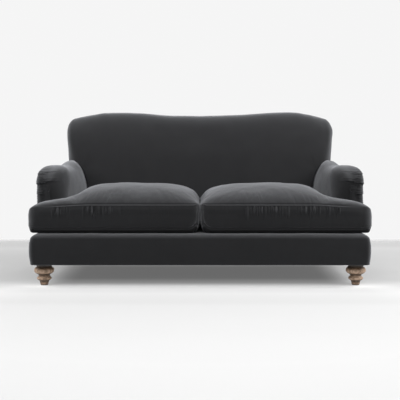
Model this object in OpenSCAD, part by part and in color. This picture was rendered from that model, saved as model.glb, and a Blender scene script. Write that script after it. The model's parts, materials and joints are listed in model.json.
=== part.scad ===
// Two-seater roll-arm sofa with a tight serpentine back, two loose T-shaped seat
// cushions, an upholstered base band and turned front legs.
// Millimetres. X to the right seen from the front, Y to the back, Z up.
// Origin: on the floor, under the middle of the sofa's bounding box.

/* [Overall] */
// Width across the ears of the seat cushions
sofa_w = 1700; // [1660:10:1740]
// Height of the back at its two high points
sofa_h = 885; // [870:5:900]
// Depth from the cushion fronts to the rear of the back
sofa_d = 960; // [940:10:990]

/* [Base and legs] */
// Floor to the underside of the base band
leg_h = 111; // [105:1:125]
// Height of the base band
base_h = 153; // [148:1:160]
// Radius of the front leg where it meets the base
leg_neck_r = 38; // [34:1:39]
// Radius of the large bead of the front leg
leg_bead_r = 50; // [44:1:52]
// Radius of the foot of the front leg
leg_foot_r = 20; // [17:1:22]

/* [Seat] */
// Height of a cushion from its underside to its top seam
cushion_h = 143; // [130:1:150]
// Crown of a cushion above its top seam
cushion_crown = 85; // [60:1:95]
// Space between the two cushions
cushion_gap = 3; // [2:0.5:8]
// Thickness of the covering fabric
fabric_t = 1.5; // [1.2:0.1:1.6]

/* [Frame] */
// Thickness of the seat rails
rail_t = 30; // [26:1:32]
// Diameter of the spring wire
wire_d = 3.5; // [3:0.1:3.8]
// Sinuous springs across the seat
spring_count = 10; // [8:2:12]

/* [Hidden] */

charcoal = [0.17, 0.17, 0.18];
oak = [0.72, 0.58, 0.46];
pine = [0.80, 0.66, 0.46];
foam_c = [0.93, 0.91, 0.82];
steel = [0.62, 0.63, 0.65];
card = [0.60, 0.47, 0.33];
black_cloth = [0.10, 0.10, 0.10];

// shifts of the hand-set stations when the overall sizes change
gx = sofa_w / 2 - 850;
gf = -(sofa_d / 2 - 480);
gr = sofa_d / 2 - 480;
gz = leg_h + base_h - 264;
gh = sofa_h - 885;

t = fabric_t;
zb0 = leg_h;                    // underside of the base band
zd = leg_h + base_h;            // top of the base band
bx = 838 + gx;                  // half width of the base band
bf = -480 + gf;                 // front of the base band
br = 412 + gr;                  // rear of the base band
zr0 = zb0 + 7;                  // underside of the rails
zr1 = zd - 24;                  // top of the rails
rake = 6.65;                    // lean of the outside back
lean = 0.3;                     // lean of the inside back, per millimetre of height

function lerp(a, b, k) = a + (b - a) * k;
function flat(l) = [for (a = l) for (b = a) b];
function yout(z) = br + 2 + (z - zd) * tan(rake);        // outside back surface
function yfront(z) = 105 + gr + (z - 267 - gz) * lean;   // inside back surface

// ---------------------------------------------------------------- mesh helpers
function quad(a, b, c, d) = [[a, b, c], [a, c, d]];

// closed solid between two open grids of points, A outside and B inside
module slab(A, B) {
    n = len(A);
    m = len(A[0]);
    N = n * m;
    polyhedron(points = concat(flat(A), flat(B)), convexity = 10, faces = concat(
        [for (i = [0:n-2], j = [0:m-2]) each quad(i*m+j, i*m+j+1, (i+1)*m+j+1, (i+1)*m+j)],
        [for (i = [0:n-2], j = [0:m-2]) each quad(N+i*m+j, N+(i+1)*m+j, N+(i+1)*m+j+1, N+i*m+j+1)],
        [for (i = [0:n-2]) each quad(i*m, (i+1)*m, N+(i+1)*m, N+i*m)],
        [for (i = [0:n-2]) each quad(i*m+m-1, N+i*m+m-1, N+(i+1)*m+m-1, (i+1)*m+m-1)],
        [for (j = [0:m-2]) each quad(j, N+j, N+j+1, j+1)],
        [for (j = [0:m-2]) each quad((n-1)*m+j, (n-1)*m+j+1, N+(n-1)*m+j+1, N+(n-1)*m+j)]));
}

// closed rings stacked along a path, both ends closed with a fan about the points c0 and c1
module loft(R, c0, c1) {
    n = len(R);
    m = len(R[0]);
    polyhedron(points = concat(flat(R), [c0, c1]), convexity = 10, faces = concat(
        [for (i = [0:n-2], j = [0:m-1]) let(k = (j+1)%m) each quad(i*m+j, (i+1)*m+j, (i+1)*m+k, i*m+k)],
        [for (j = [0:m-1]) [n*m, j, (j+1)%m]],
        [for (j = [0:m-1]) [n*m+1, (n-1)*m+(j+1)%m, (n-1)*m+j]]));
}

// closed rings joined end to end into a ring-shaped solid
module band(R) {
    n = len(R);
    m = len(R[0]);
    polyhedron(points = flat(R), convexity = 10, faces =
        [for (i = [0:n-1], j = [0:m-1]) let(k = (j+1)%m, h = (i+1)%n) each quad(i*m+j, h*m+j, h*m+k, i*m+k)]);
}

// points of a rounded corner at P between neighbours A and B
function corner(A, P, B, r, n) = let(
    u = (A - P) / norm(A - P), v = (B - P) / norm(B - P),
    c = u * v, half = acos(c) / 2, q = r / tan(half), C = P + (u + v) / norm(u + v) * r / sin(half),
    a = P + u * q - C, b = P + v * q - C, w = acos(max(-1, min(1, (a * b) / (r * r)))))
    [for (i = [0:n-1]) let(k = i / (n - 1)) C + (a * sin((1 - k) * w) + b * sin(k * w)) / sin(w)];

function at_z(L, z) = [for (p = L) [p[0], p[1], z]];

module both() { children(); mirror([1, 0, 0]) children(); }
module left() { mirror([1, 0, 0]) children(); }

// frame that leans with the outside back; d is the distance in from its surface
module raked(d) {
    translate([0, br + 2 - d, zd]) rotate([-rake, 0, 0]) children();
}
function rz(z) = (z - zd) / cos(rake);

// ---------------------------------------------------------------- legs
legx = 781 + gx;
legy = -390 + gf;
rlegx = 765 + gx;
rlegy = 352 + gr;

module front_leg() {
    k = (leg_h + 4) / 115;
    color(oak) difference() {
        translate([legx, legy, 0]) rotate_extrude($fn = 96) polygon(concat(
            [[0, 4], [leg_foot_r, 4], [leg_foot_r + 0.6, 9 * k], [leg_foot_r + 3.6, 20 * k], [leg_foot_r + 6, 24.5 * k]],
            [for (a = [-55:22:68]) [26 + 11 * cos(a), (34.5 + 8.8 * sin(a)) * k]],
            [[28.6, 45.6 * k], [28, 49.4 * k], [29.2, 53.6 * k]],
            [for (a = [-62:15.5:70]) [leg_bead_r - 21 + 21 * cos(a), (75 + 18.5 * sin(a)) * k]],
            [[leg_neck_r - 0.9, 93.4 * k], [leg_neck_r, 97 * k], [leg_neck_r, 109 * k],
             [leg_neck_r - 2, 110.6 * k], [leg_neck_r - 2, 115 * k], [0, 115 * k]]));
        translate([legx, legy, 74]) cylinder(d = 8.2, h = 60, $fn = 32);
    }
}
module rear_leg() {
    color(oak) difference() {
        intersection() {
            translate([rlegx - 40, 0, 0]) rotate([90, 0, 90]) linear_extrude(80)
                polygon([[rlegy - 23, leg_h + 4], [rlegy + 23, leg_h + 4], [rlegy + 45, 4], [rlegy + 11, 4]]);
            translate([0, rlegy + 80, 0]) rotate([90, 0, 0]) linear_extrude(140)
                polygon([[rlegx - 23, leg_h + 4], [rlegx + 23, leg_h + 4], [rlegx + 17, 4], [rlegx - 17, 4]]);
        }
        translate([rlegx, rlegy, 74]) cylinder(d = 8.2, h = 60, $fn = 32);
    }
}
module at_legs() {
    for (p = [[legx, legy], [rlegx, rlegy]]) both() translate([p[0], p[1], 0]) children();
}
module leg_bolts() {
    color(steel) at_legs() {
        translate([0, 0, 76]) cylinder(d = 8, h = leg_h + 44 - 76, $fn = 32);
    }
}
module leg_plates() {
    color(steel) at_legs() difference() {
        translate([-26, -26, leg_h + 4]) cube([52, 52, 2.8]);
        translate([0, 0, leg_h]) cylinder(d = 8.4, h = 12, $fn = 32);
        for (a = [45:90:315]) rotate(a) translate([30, 0, leg_h]) cylinder(d = 5, h = 12, $fn = 24);
    }
}
module leg_glides() {
    color([0.25, 0.25, 0.26]) {
        both() translate([legx, legy, 0]) cylinder(r1 = leg_foot_r - 2, r2 = leg_foot_r - 0.5, h = 4, $fn = 48);
        both() translate([rlegx, rlegy + 28, 0]) cylinder(r1 = 13, r2 = 14.5, h = 4, $fn = 48);
    }
}

// ---------------------------------------------------------------- screws
// position, direction, length; mirrored to the other side
screw_pts = [
    [[752 + gx, legy + 14, zr0 + 80], "x", 69], [[752 + gx, legy + 14, zr0 + 40], "x", 69],
    [[782 + gx, bf + 114.1, zr0 + 100], "f", 90],
    [[762 + gx, -246 + gf, zr0 + 50], "x", 59], [[762 + gx, -246 + gf, zr0 + 100], "x", 59],
    [[720 + gx, yout(zr0 + 60) - 76.5, zr0 + 60], "y", 62], [[720 + gx, yout(zr0 + 100) - 76.5, zr0 + 100], "y", 62]
];
module one_screw(s, g) {
    translate(s[0]) rotate(s[1] == "x" ? [0, 90, 0] : s[1] == "y" ? [-90, 0, 0] : [90, 0, 0]) {
        cylinder(d = 5 + g, h = s[2], $fn = 24);
        translate([0, 0, -g]) cylinder(d = 9 + g, h = 3 + g, $fn = 24);
    }
}
module screw_room() { for (s = screw_pts) both() one_screw(s, 0.3); }
module frame_screws() {
    color(steel) for (s = screw_pts) both() one_screw(s, 0);
}

// ---------------------------------------------------------------- seat frame
rx = 828 + gx;                  // outer faces of the rails
side_t = rail_t - 7;             // thickness of the side rails
rf = bf + 10;                   // front face of the front rail
rr = 400 + gr;
// a rail across the sofa with its outer corners cut back by cf in front or cr at the rear
module rail_bar(y, d, cf, cr) {
    translate([0, 0, zr0]) linear_extrude(zr1 - zr0) polygon([[-rx + cf, y], [rx - cf, y], [rx, y + cf], [rx, y + d - cr],
        [rx - cr, y + d], [-rx + cr, y + d], [-rx, y + d - cr], [-rx, y + cf]]);
}
module front_rail() {
    color(pine) difference() {
        rail_bar(rf, rail_t, 10, 0);
        screw_room();
    }
}
module rear_rail() {
    color(pine) difference() {
        rail_bar(rr - 24, 24, 0, 8);
        screw_room();
    }
}
module side_rail() {
    color(pine) difference() {
        translate([rx - side_t, rf + rail_t + 0.1, zr0]) cube([side_t, rr - 24.1 - rf - rail_t - 0.1, zr1 - zr0]);
        screw_room();
    }
}
module centre_rail() {
    color(pine) translate([-20, rf + rail_t + 0.1, zr0]) cube([40, rr - 24.1 - rf - rail_t - 0.1, 70]);
}
module corner_blocks() {
    color(pine) difference() {
        both() {
            translate([rx - side_t - 0.1 - 50, rf + rail_t + 0.1, zr0]) cube([50, 74, zr1 - zr0 - 6]);
            translate([rx - side_t - 0.1 - 62, rlegy - 26, zr0]) cube([62, rr - 24.1 - rlegy + 26, zr1 - zr0 - 6]);
        }
        screw_room();
        at_legs() cylinder(d = 8.2, h = leg_h + 60, $fn = 32);
    }
}

// ---------------------------------------------------------------- arms
// inner face, outer face, crest and spring line of an arm along its length
function arm_xi(y) = gx + lookup(y, [[-281 + gf, 684], [-120, 669], [40, 650], [150 + gr, 641], [500, 641]]);
function arm_xo(y) = gx + lookup(y, [[-281 + gf, 838], [150 + gr, 818], [500, 818]]);
function arm_zc(y) = gz + lookup(y, [[-281 + gf, 593], [-230 + gf, 592], [-150, 586], [-50, 583], [10, 588],
    [60, 597], [130 + gr, 610], [160 + gr, 613], [500, 613]]);
function arm_zs(y) = gz + lookup(y, [[-281 + gf, 494], [0, 468], [140 + gr, 425], [500, 425]]);
// outline of the rear part of an arm, as the back sits on it
function arm_top(x) = gz + lookup(x - gx, [for (k = [0:12]) [729.5 - 88.5 * cos(15 * k), 425 + 188 * sin(15 * k)]]);
az = zd + 1.8;                  // underside of the arm padding

// half section of an arm, from the outer foot over the crest to the inner foot;
// oi, oo, ot are the insets of the inner face, the outer face and the top
function arm_sec(y, oi, oo, ot, open) = let(
    a0 = arm_xi(y) + oi, a1 = arm_xo(y) - oo, c = (a0 + a1) / 2, a = (a1 - a0) / 2,
    s = arm_zs(y), b = arm_zc(y) - ot - s)
    concat(
        open ? [[a1, s + 0.4], [a1, s + 0.8], [a1, s + 1.2]] : [[a1, az], [a1, lerp(az, s, 0.5)], [a1, s]],
        [for (k = [15:15:165]) [c + a * cos(k), s + (open ? 1.4 : 0) + (b - (open ? 1.4 : 0)) * sin(k)]],
        [[a0, s], [a0, lerp(az, s, 0.5)], [a0, az]]);

// one ring of the arm at station y, shrunk by k about the middle of its foot
function arm_ring(y, yy, k, oi, oo, ot, open, rear) = let(
    L = arm_sec(y, oi, oo, ot, open), c = (arm_xi(y) + oi + arm_xo(y) - oo) / 2)
    [for (p = L) let(z = az + (p[1] - az) * k) [c + (p[0] - c) * k, rear ? yout(z) - 5.6 : yy, z]];

af = -281 + gf;
arm_st = [-255 + gf, -200 + gf, -150, -50, 10, 60, 110 + gr, 160 + gr, 260 + gr];
function arm_grid(oy, oi, oo, ot, split) = concat(
    [arm_ring(af, af + oy, 0.03, oi, oo, ot, false, false),
     arm_ring(af, af + oy, 0.55, oi, oo, ot, false, false),
     arm_ring(af, af + oy, 0.915, oi, oo, ot, false, false),
     arm_ring(af, af + oy + 2.5, 0.965, oi, oo, ot, false, false),
     arm_ring(af, af + oy + 8, 0.99, oi, oo, ot, false, false),
     arm_ring(af, af + oy + 18, 1, oi, oo, ot, false, false)],
    [for (y = arm_st) arm_ring(y, y, 1, oi, oo, ot, split, false)],
    [arm_ring(400, 400, 1, oi, oo, ot, split, true)]);

// room for the back post and the back rails behind the inside of the arm
module post_room() {
    translate([560, 0, 0]) raked(84) translate([0, 0, -80]) cube([186 + gx, 110, 620]);
}
module arm_foam() {
    color(foam_c) difference() {
        slab(arm_grid(t + 0.3, t + 0.3, t + 0.3, t + 0.3, false), arm_grid(11, 38, 12.5, 40, false));
        post_room();
    }
}
module arm_cover() {
    color(charcoal) difference() {
        slab(arm_grid(0, 0, 0, 0, true), arm_grid(t, t, t, t, true));
        post_room();
    }
}
module outside_arm_cover() {
    st = concat([-254.5 + gf], [for (i = [1:len(arm_st)-1]) arm_st[i]], [400]);
    function col(o) = [for (y = st) [for (z = [az, lerp(az, arm_zs(y), 0.5), arm_zs(y)]) [arm_xo(y) - o, y == 400 ? yout(z) - 1.8 : y, z]]];
    color(charcoal) slab(col(0), col(t));
}
module arm_side_board() {
    color(card) translate([0, 0, az + 1]) linear_extrude(150) polygon([
        [arm_xo(af + 30) - 13.6, af + 30], [arm_xo(150 + gr) - 13.6, 150 + gr], [arm_xo(400) - 13.6, 395 + gr],
        [arm_xo(400) - 16.6, 395 + gr], [arm_xo(150 + gr) - 16.6, 150 + gr], [arm_xo(af + 30) - 16.6, af + 30]]);
}
module arm_front_board() {
    s = arm_zs(af);
    a0 = arm_xi(af) + 62;
    a1 = arm_xo(af) - 17.5;
    b = arm_zc(af) - 45 - s;
    color(pine) translate([0, af + 19, 0]) rotate([90, 0, 0]) linear_extrude(7.4) polygon(concat(
        [[a1, az + 1], [a1, s - 26]], [for (k = [20:20:160]) [(a0 + a1) / 2 + (a1 - a0) / 2 * cos(k), s - 26 + b * sin(k)]],
        [[a0, s - 26], [a0, az + 1]]));
}
module arm_front_post() {
    color(pine) difference() {
        translate([765 + gx, af + 19.4, zr0]) cube([39, 38, 505 + gz - zr0]);
        screw_room();
    }
}
module arm_top_rail() {
    color(pine) translate([0, 0, 505 + gz]) linear_extrude(20) polygon([
        [748 + gx, af + 20], [798 + gx, af + 20], [758 + gx, 332 + gr], [708 + gx, 332 + gr]]);
}
module arm_lower_rail() {
    color(pine) translate([0, 0, 285 + gz]) linear_extrude(40) polygon([
        [730 + gx, af + 20], [752 + gx, af + 20], [712 + gx, 322 + gr], [690 + gx, 322 + gr]]);
}

// ---------------------------------------------------------------- back
// top outline of the back: half width against height
function back_zt(x) = gh + lookup(abs(x) - gx, [[0, 865], [79, 867], [150, 869], [220, 873.5], [290, 878], [360, 881],
    [431, 884], [483, 885], [536, 884], [571, 881.5], [604, 877], [640, 871.5], [668, 866], [693, 860], [715, 854],
    [736, 843], [749, 831], [758, 819], [764, 808], [770, 796]]);
function back_z0(x) = let(a = abs(x)) a <= 637 + gx ? 267 + gz : a < 729 + gx ? arm_top(a + 1) + 3 : arm_top(a - 1) + 3 + min(4, (a - gx - 729) / 4);

function ellip(y0, y1, z, b) = [for (k = [180:-22.5:0]) [(y0 + y1) / 2 + (y1 - y0) / 2 * cos(k), z + b * sin(k)]];
// section of the back at x: front foot, up the front, over the top, rear edge
function back_sec(x, of, ot, or) = let(
    z0 = back_z0(x), zt = back_zt(x) - ot, zs = zt - 55,
    y1 = yfront(zs) + of, y2 = yout(zs) - or)
    concat([for (k = [0:3]) let(z = lerp(z0, zs - 14, k / 3)) [yfront(z) + of, z]], ellip(y1, y2, zs, 55),
        let(ze = abs(x) > 752 + gx ? z0 + 4 : zs - 5) [[yout(ze) - or, ze]]);
// the same for the hollow that holds the frame; its foot clears the arm at x and at xo
function back_hollow(x, xo) = let(
    z0 = max(back_z0(x), back_z0(xo)), zt = back_zt(x) - 42, zs = zt - 25)
    concat([for (k = [0:3]) let(z = lerp(z0, zs - 14, k / 3)) [yout(z) - 83, z]],
        ellip(yout(zs) - 83, yout(zs) - 12, zs, 25), let(ze = abs(x) > 730 + gx ? z0 + 4 : zs - 5) [[yout(ze) - 12, ze]]);
// section shrunk by k about the middle of its foot
function shrink(L, k) = k == 1 ? L : let(c = [(L[0][0] + L[len(L)-1][0]) / 2, L[0][1]])
    [for (p = L) c + (p - c) * k];

back_half = [[770, 0.03], [770, 0.5], [770, 0.9], [768.6, 0.95], [764.5, 0.983], [753.4, 1], [745, 1], [736, 1], [728.5, 1], [705.6, 1],
    [684.3, 1], [665.9, 1], [651.9, 1], [643, 1], [640, 1], [637, 1], [604, 1], [540, 1], [483, 1], [420, 1], [340, 1], [250, 1], [170, 1], [85, 1], [0, 1]];
back_st = concat([for (s = back_half) [-s[0] - gx, s[1], 1]], [for (i = [len(back_half)-2:-1:0]) [back_half[i][0] + gx, back_half[i][1], -1]]);
function back_grid(of, ot, or, ox) = [for (s = back_st) let(x = s[0] + (s[1] < 1 ? s[2] * ox : 0))
    [for (p = shrink(back_sec(s[0], of, ot, or), s[1])) [x, p[0], p[1]]]];
function hollow_grid() = [for (s = back_st) let(x = s[0] * 0.972)
    [for (p = shrink(back_hollow(x, s[0]), s[1])) [x, p[0], p[1]]]];
module back_foam() {
    color(foam_c) slab(back_grid(t + 0.3, t + 0.3, t + 0.3, t + 0.3), hollow_grid());
}
module back_cover() {
    color(charcoal) slab(back_grid(0, 0, 0, 0), back_grid(t, t, t, t));
}
// shoulder of the outside back, which follows the rear outline of an arm
function shoulder(o) = [for (k = [0:15:75]) [729.5 + gx + (86.5 - o) * cos(k), rz(425 + gz + (186 - o) * sin(k))]];
function back_outline(o, g) = concat(
    [[729.5 + gx + 86.5 - o, 2 + o]], shoulder(o), [[743 + gx - o, rz(608 + gz - o)]],
    [for (x = [743, 736, 728.5, 705.6, 684.3, 665.9, 640, 604, 540, 483, 420, 340, 250, 170, 85, 0])
        [min(x + gx, 743 + gx - o), rz(back_zt(x + gx) - 62 - g)]],
    [for (x = [85, 170, 250, 340, 420, 483, 540, 604, 640, 665.9, 684.3, 705.6, 728.5, 736, 743])
        [-min(x + gx, 743 + gx - o), rz(back_zt(x + gx) - 62 - g)]],
    [[-743 - gx + o, rz(608 + gz - o)]], [for (k = [0:5]) let(q = shoulder(o)[5 - k]) [-q[0], q[1]]],
    [[-729.5 - gx - 86.5 + o, 2 + o]]);
module outside_back_cover() {
    color(charcoal) raked(0) rotate([90, 0, 0]) linear_extrude(t) polygon(back_outline(0, 0));
}
module back_board() {
    color(card) raked(2) rotate([90, 0, 0]) linear_extrude(2.6) polygon(back_outline(4, 8));
}
module back_post() {
    color(pine) difference() {
        translate([700 + gx, 0, 0]) raked(76) translate([0, 0, rz(zr0) + 14]) cube([38.5, 40, rz(742 + gh) - rz(zr0) - 14]);
        screw_room();
    }
}
module back_top_rail() {
    color(pine) raked(40) rotate([90, 0, 0]) linear_extrude(30) polygon(concat(
        [[-739 - gx, rz(742.3 + gh)], [739 + gx, rz(742.3 + gh)]],
        [for (x = [739, 700, 640, 560, 483, 380, 290, 200, 100, 0]) [x + gx, rz(back_zt(x + gx) - 60)]],
        [for (x = [100, 200, 290, 380, 483, 560, 640, 700, 739]) [-x - gx, rz(back_zt(x + gx) - 60)]]));
}
module back_lower_rail() {
    color(pine) translate([-699 - gx, 0, 0]) raked(74) translate([0, 0, rz(290 + gz)]) cube([1398 + 2 * gx, 36, 50]);
}
module back_upright() {
    color(pine) translate([-20, 0, 0]) raked(74) translate([0, 0, rz(290 + gz) + 50.2]) cube([40, 30, rz(742 + gh) - rz(290 + gz) - 50.4]);
}
module back_webbing() {
    color([0.45, 0.33, 0.22]) {
        for (z = [375, 465, 555, 645, 735]) translate([-697 - gx, 0, 0]) raked(77.5) translate([0, 0, rz(z + gz)]) cube([1394 + 2 * gx, 2, 50]);
        for (x = [-510, -340, -170, 0, 170, 340, 510]) translate([x - 25, 0, 0]) raked(77.5) translate([0, 0, rz(345 + gz)]) cube([50, 2, 430]);
    }
}

// ---------------------------------------------------------------- suspension
spring_x = [for (i = [0:spring_count-1]) (i - (spring_count - 1) / 2) * 1180 / (spring_count - 1)];
sy0 = rf + 8;
sy1 = rr - 8;
loops = 18;
function spring_c(u) = [u < 0.03 || u > 0.97 ? 0 : 23 * sin(360 * loops / 2 * (u - 0.03) / 0.94), lerp(sy0, sy1, u)];
module spring_line() {
    N = loops * 5;
    C = [for (i = [0:N]) spring_c(i / N)];
    T = [for (i = [0:N]) let(a = C[max(0, i-1)], b = C[min(N, i+1)], d = b - a) d / norm(d)];
    polygon(concat(
        [for (i = [0:N]) C[i] + wire_d / 2 * [-T[i][1], T[i][0]]],
        [for (i = [N:-1:0]) C[i] - wire_d / 2 * [-T[i][1], T[i][0]]]));
}
module seat_springs() {
    color(steel) for (x = spring_x) translate([x, 0, zr1 + 0.2]) linear_extrude(wire_d) spring_line();
}
module spring_clips() {
    color(steel) for (x = spring_x, y = [rf + 5, rr - 19]) translate([x, y, zr1]) difference() {
        translate([-11, 0, 0]) cube([22, 14, 6]);
        translate([-wire_d / 2 - 0.4, -1, -1]) cube([wire_d + 0.8, 16, wire_d + 1.6]);
    }
}
module spring_tie_wires() {
    color([0.75, 0.70, 0.60]) for (y = [-170, 100]) translate([-630, y, zr1 + wire_d + 1.8]) rotate([0, 90, 0]) cylinder(d = 2.4, h = 1260, $fn = 24);
}
module seat_plan(o) {
    polygon([[-rx + 24 + o, rf + 25 + o], [rx - 24 - o, rf + 25 + o], [rx - 24 - o, af - 2 - o], [arm_xi(40) - 12 - o, af - 2 - o],
        [arm_xi(150) - 12 - o, 196 + gr - o], [-arm_xi(150) + 12 + o, 196 + gr - o], [-arm_xi(40) + 12 + o, af - 2 - o], [-rx + 24 + o, af - 2 - o]]);
}
module seat_hessian() {
    color([0.62, 0.50, 0.34]) translate([0, 0, zr1 + 7.3]) linear_extrude(1.2) seat_plan(1);
}
module deck_pad() {
    color(foam_c) translate([0, 0, zr1 + 8.8]) linear_extrude(14.4) seat_plan(1);
}
module deck_cover() {
    color(charcoal) translate([0, 0, zr1 + 23.5]) linear_extrude(1.4) seat_plan(0);
}

// ---------------------------------------------------------------- base band
function rrect(o) = let(hx = bx - o, r = o > 9.6 && o < 9.8 ? 0.5 : max(16 - o * 0.6, 3), cy0 = bf + o, cy1 = br - o)
    [for (c = [[hx - r, cy0 + r, -90], [hx - r, cy1 - r, 0], [-hx + r, cy1 - r, 90], [-hx + r, cy0 + r, 180]])
        for (k = [0:22.5:90]) [c[0] + r * cos(c[2] + k), c[1] + r * sin(c[2] + k)]];
// quarter round of the band's top edge, inset by g
function base_roll(g) = [for (k = [0:15:90]) [30 - (30 - g) * cos(k), base_h - 30 + (30 - g) * sin(k)]];
// room for the back posts where they rise through the rear of the band
module base_notches() {
    both() translate([698 + gx, 0, 0]) raked(78) translate([0, 0, -40]) cube([42.5, 44, 60]);
}
module base_cover() {
    o = concat([[20, 0], [6, 0], [1.2, 4], [0, 12], [0, base_h * 0.45]], base_roll(0), [[33, base_h]]);
    i = concat([[33, base_h - t]], [for (k = [6:-1:0]) base_roll(t)[k]], [[t, base_h * 0.45], [t, 13], [2.7, 5], [7.5, t], [20, t]]);
    color(charcoal) difference() {
        band([for (p = concat(o, i)) at_z(rrect(p[0]), zb0 + p[1])]);
        base_notches();
    }
}
module base_padding() {
    o = concat([[7, 3.4], [3.4, 7], [2.3, 14], [2.3, 20]], base_roll(2.3), [[33, base_h - 2.3], [33, base_h - 17], [9.7, base_h - 17], [9.7, 3.4]]);
    color(foam_c) difference() {
        band([for (p = o) at_z(rrect(p[0]), zb0 + p[1])]);
        base_notches();
    }
}
module dust_cover() {
    color(black_cloth) difference() {
        translate([-bx + 25, bf + 25, zb0 + 0.4]) cube([2 * bx - 50, br - bf - 50, 1.2]);
        both() {
            translate([legx, legy, zb0 - 5]) cylinder(r = leg_neck_r + 1.5, h = 20, $fn = 64);
            translate([rlegx - 25, rlegy - 25, zb0 - 5]) cube([50, 52, 20]);
        }
    }
}

// ---------------------------------------------------------------- seat cushions
cz0 = zd + 3;                   // underside
cz1 = cz0 + cushion_h;          // top seam
cyf = -467 + gf;
cyr = 104 + gr;
cxo = 850 + gx;
K = [340, -384 + gf];
// plan of a cushion, inset by d
function plan(d) = let(
    P1 = [cushion_gap / 2 + d, cyf + d], P2 = [cxo - d, cyf + d], P3 = [cxo - d, af - 5 - d], P4 = [arm_xi(af) - 4 - d, af - 5 - d],
    Q1 = [arm_xi(-120) - 4 - d, -120], Q2 = [arm_xi(40) - 4 - d, 40], P5 = [arm_xi(cyr) - 4 - d, cyr - d], P6 = [cushion_gap / 2 + d, cyr - d],
    r = max(26 - d, 3))
    concat(corner(P6, P1, P2, r, 5), [lerp(P1, P2, 0.2), lerp(P1, P2, 0.4), lerp(P1, P2, 0.6), lerp(P1, P2, 0.8)],
        corner(P1, P2, P3, r, 5), corner(P2, P3, P4, r, 4), corner(P3, P4, Q1, 6 + d * 0.3, 3),
        [Q1, Q2], corner(Q2, P5, P6, r, 4), [lerp(P5, P6, 0.35), lerp(P5, P6, 0.7)], corner(P5, P6, P1, r, 4), [lerp(P6, P1, 0.35), lerp(P6, P1, 0.7)]);
function crown(x, y) = let(
    g = x < 400 ? 1 - pow((400 - x) / 400, 2) : 1 - pow(min(1, (x - 400) / (450 + gx)), 1.6),
    v = (y - cyf) / (cyr - cyf), h = 1 - pow(abs(2 * v - 1), 4))
    cushion_crown * max(0, g) * max(0, h);
function crowned(L, z, k) = [for (p = L) [p[0], p[1], z + k * crown(p[0], p[1])]];
function about(L, s) = [for (p = L) K + (p - K) * s];
module cushion_body(d, e) {
    // d insets the sides, e the top and the underside
    loft(concat(
            [at_z(about(plan(62 + d), 0.6), cz0 + e), at_z(plan(50 + d), cz0 + e), at_z(plan(12 + d), cz0 + e), at_z(plan(4 + d), cz0 + 5 + e),
             at_z(plan(2 + d), cz0 + 18), at_z(plan(0 + d), cz0 + 75), at_z(plan(2 + d), cz1 - 8), crowned(plan(7 + d), cz1 - e, 0.6)],
            [crowned(plan(20 + d), cz1 - e, 0.95), crowned(plan(44 + d), cz1 - e, 1), crowned(plan(66 + d), cz1 - e, 1)],
            [for (s = [0.84, 0.66, 0.48, 0.3, 0.14]) crowned(about(plan(66 + d), s), cz1 - e, 1)]),
        [K[0], K[1], cz0 + e], [K[0], K[1], cz1 - e + crown(K[0], K[1])]);
}
module seat_cushion_cover() {
    color(charcoal) difference() {
        cushion_body(0, 0);
        cushion_body(t, t);
    }
}
// convex foam blocks that fill a cushion: the seat block and the ear in front of the arm
function block(x0, y0, x1, y1, x2, y2, d) = let(
    A = [x0 + d, y0 + d], B = [x1 - d, y0 + d], C = [x2 - d, y2 - d], D = [x0 + d, y2 - d], r = max(20 - d, 3))
    concat(corner(D, A, B, r, 4), [lerp(A, B, 0.25), lerp(A, B, 0.5), lerp(A, B, 0.75)], corner(A, B, C, r, 4), [lerp(B, C, 0.33), lerp(B, C, 0.67)],
        corner(B, C, D, r, 4), [lerp(C, D, 0.25), lerp(C, D, 0.5), lerp(C, D, 0.75)], corner(C, D, A, r, 4), [lerp(D, A, 0.33), lerp(D, A, 0.67)]);
module foam_block(x0, y0, x1, y1, x2, y2, d1) {
    M = [(x0 + (x1 + x2) / 2) / 2, (y0 + y2) / 2];
    function b(d) = block(x0, y0, x1, y1, x2, y2, d);
    function s(L, k) = [for (p = L) M + (p - M) * k];
    loft([at_z(b(12), cz0 + t + 1), at_z(b(3), cz0 + t + 7), at_z(b(0), cz0 + 30), at_z(b(0), cz1 - 24), at_z(b(4), cz1 - 9),
            crowned(b(16), cz1 - 6, 0.85), crowned(b(d1), cz1 - 5, 0.97), crowned(s(b(d1), 0.66), cz1 - 5, 0.97), crowned(s(b(d1), 0.33), cz1 - 5, 0.97)],
        [M[0], M[1], cz0 + t + 1], [M[0], M[1], cz1 - 5 + 0.97 * crown(M[0], M[1])]);
}
module seat_core() {
    color(foam_c) foam_block(cushion_gap / 2 + 4, cyf + 4, 676 + gx, 0, arm_xi(cyr) - 9, cyr - 4, 50);
}
module ear_core() {
    color(foam_c) foam_block(677.5 + gx, cyf + 4, cxo - 4, 0, cxo - 4, af - 9, 34);
}
module zip_tape() {
    color([0.12, 0.12, 0.13]) translate([105, cyr + 0.4, cz0 + 63]) cube([430, 1.2, 24]);
}
module zip_slider() {
    color(steel) translate([320, cyr + 2, cz0 + 70]) {
        translate([-5, 0, 0]) cube([10, 2.6, 11]);
        translate([-2.5, 2, -20]) cube([5, 1.4, 26]);
    }
}

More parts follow.
